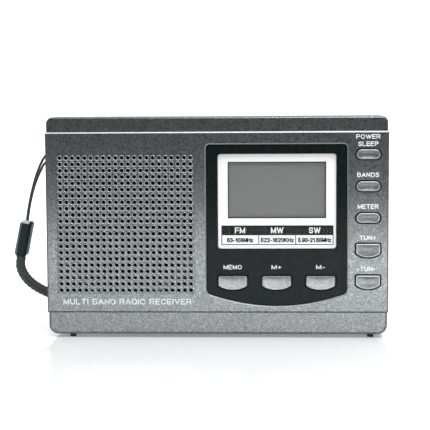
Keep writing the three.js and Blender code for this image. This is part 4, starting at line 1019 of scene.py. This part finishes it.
def make_stage():
    """A white sweep that glows softly under and behind the object and dims to the front."""
    m = Nodes("floor_white")
    split = m.add("ShaderNodeSeparateXYZ")
    m.link(m.place, split.inputs["Vector"])
    near = m.spread(split.outputs["Y"], 0.0, 1.0, FLOOR_DIM, FLOOR_BRIGHT)
    m.colour(m.ramp(near, [(0.0, (0.34, 0.34, 0.34)), (1.0, (0.76, 0.76, 0.76))]))
    m.shader.inputs["Emission Color"].default_value = (1.0, 1.0, 1.0, 1.0)
    m.link(m.spread(near, 0.0, FLOOR_GLOW, 0.0, 1.0), m.shader.inputs["Emission Strength"])
    m.set(Specular_IOR_Level=0.3)
    m.roughness(m.spread(m.noise(8), 0.10, 0.14))
    half_w, near_y, far, radius, top = 3.0, -2.0, 1.6, 0.6, 3.0
    profile = [(near_y, 0.0), (far - radius, 0.0)]
    for step in range(1, SWEEP_STEPS + 1):
        turn = math.pi / 2 * step / SWEEP_STEPS
        profile.append((far - radius + math.sin(turn) * radius, radius - math.cos(turn) * radius))
    profile.append((far, top))
    points = [(x, y, z) for y, z in profile for x in (-half_w, half_w)]
    faces = [(i * 2, i * 2 + 1, i * 2 + 3, i * 2 + 2) for i in range(len(profile) - 1)]
    floor = new_object("floor", mesh_from("floor", points, faces, smooth=80))
    floor.data.materials.append(m.material)


def area_light(name, place, target, size, power, size_y=None):
    data = bpy.data.lights.new(name, "AREA")
    data.energy = power
    data.size = size
    if size_y:
        data.shape = "RECTANGLE"
        data.size_y = size_y
    light = bpy.data.objects.new(name, data)
    bpy.context.scene.collection.objects.link(light)
    light.location = place
    light.rotation_mode = "QUATERNION"
    light.rotation_quaternion = (Vector(target) - Vector(place)).to_track_quat("-Z", "Y")
    return light


def make_lights():
    world = bpy.data.worlds.new("studio")
    bpy.context.scene.world = world
    world.use_nodes = True
    background = world.node_tree.nodes["Background"]
    background.inputs["Color"].default_value = (0.9, 0.95, 1.0, 1.0)
    background.inputs["Strength"].default_value = WORLD_LIGHT
    for light in LIGHTS:
        area_light(*light)
    strip = area_light("low_strip", STRIP_AT, (0.0, 0.0, 0.0), STRIP_SIZE[0], STRIP_POWER, STRIP_SIZE[1])
    strip.data.spread = STRIP_SPREAD
    bpy.context.scene.view_settings.view_transform = "Standard"
    bpy.context.scene.view_settings.look = "None"


make_stage()
make_lights()
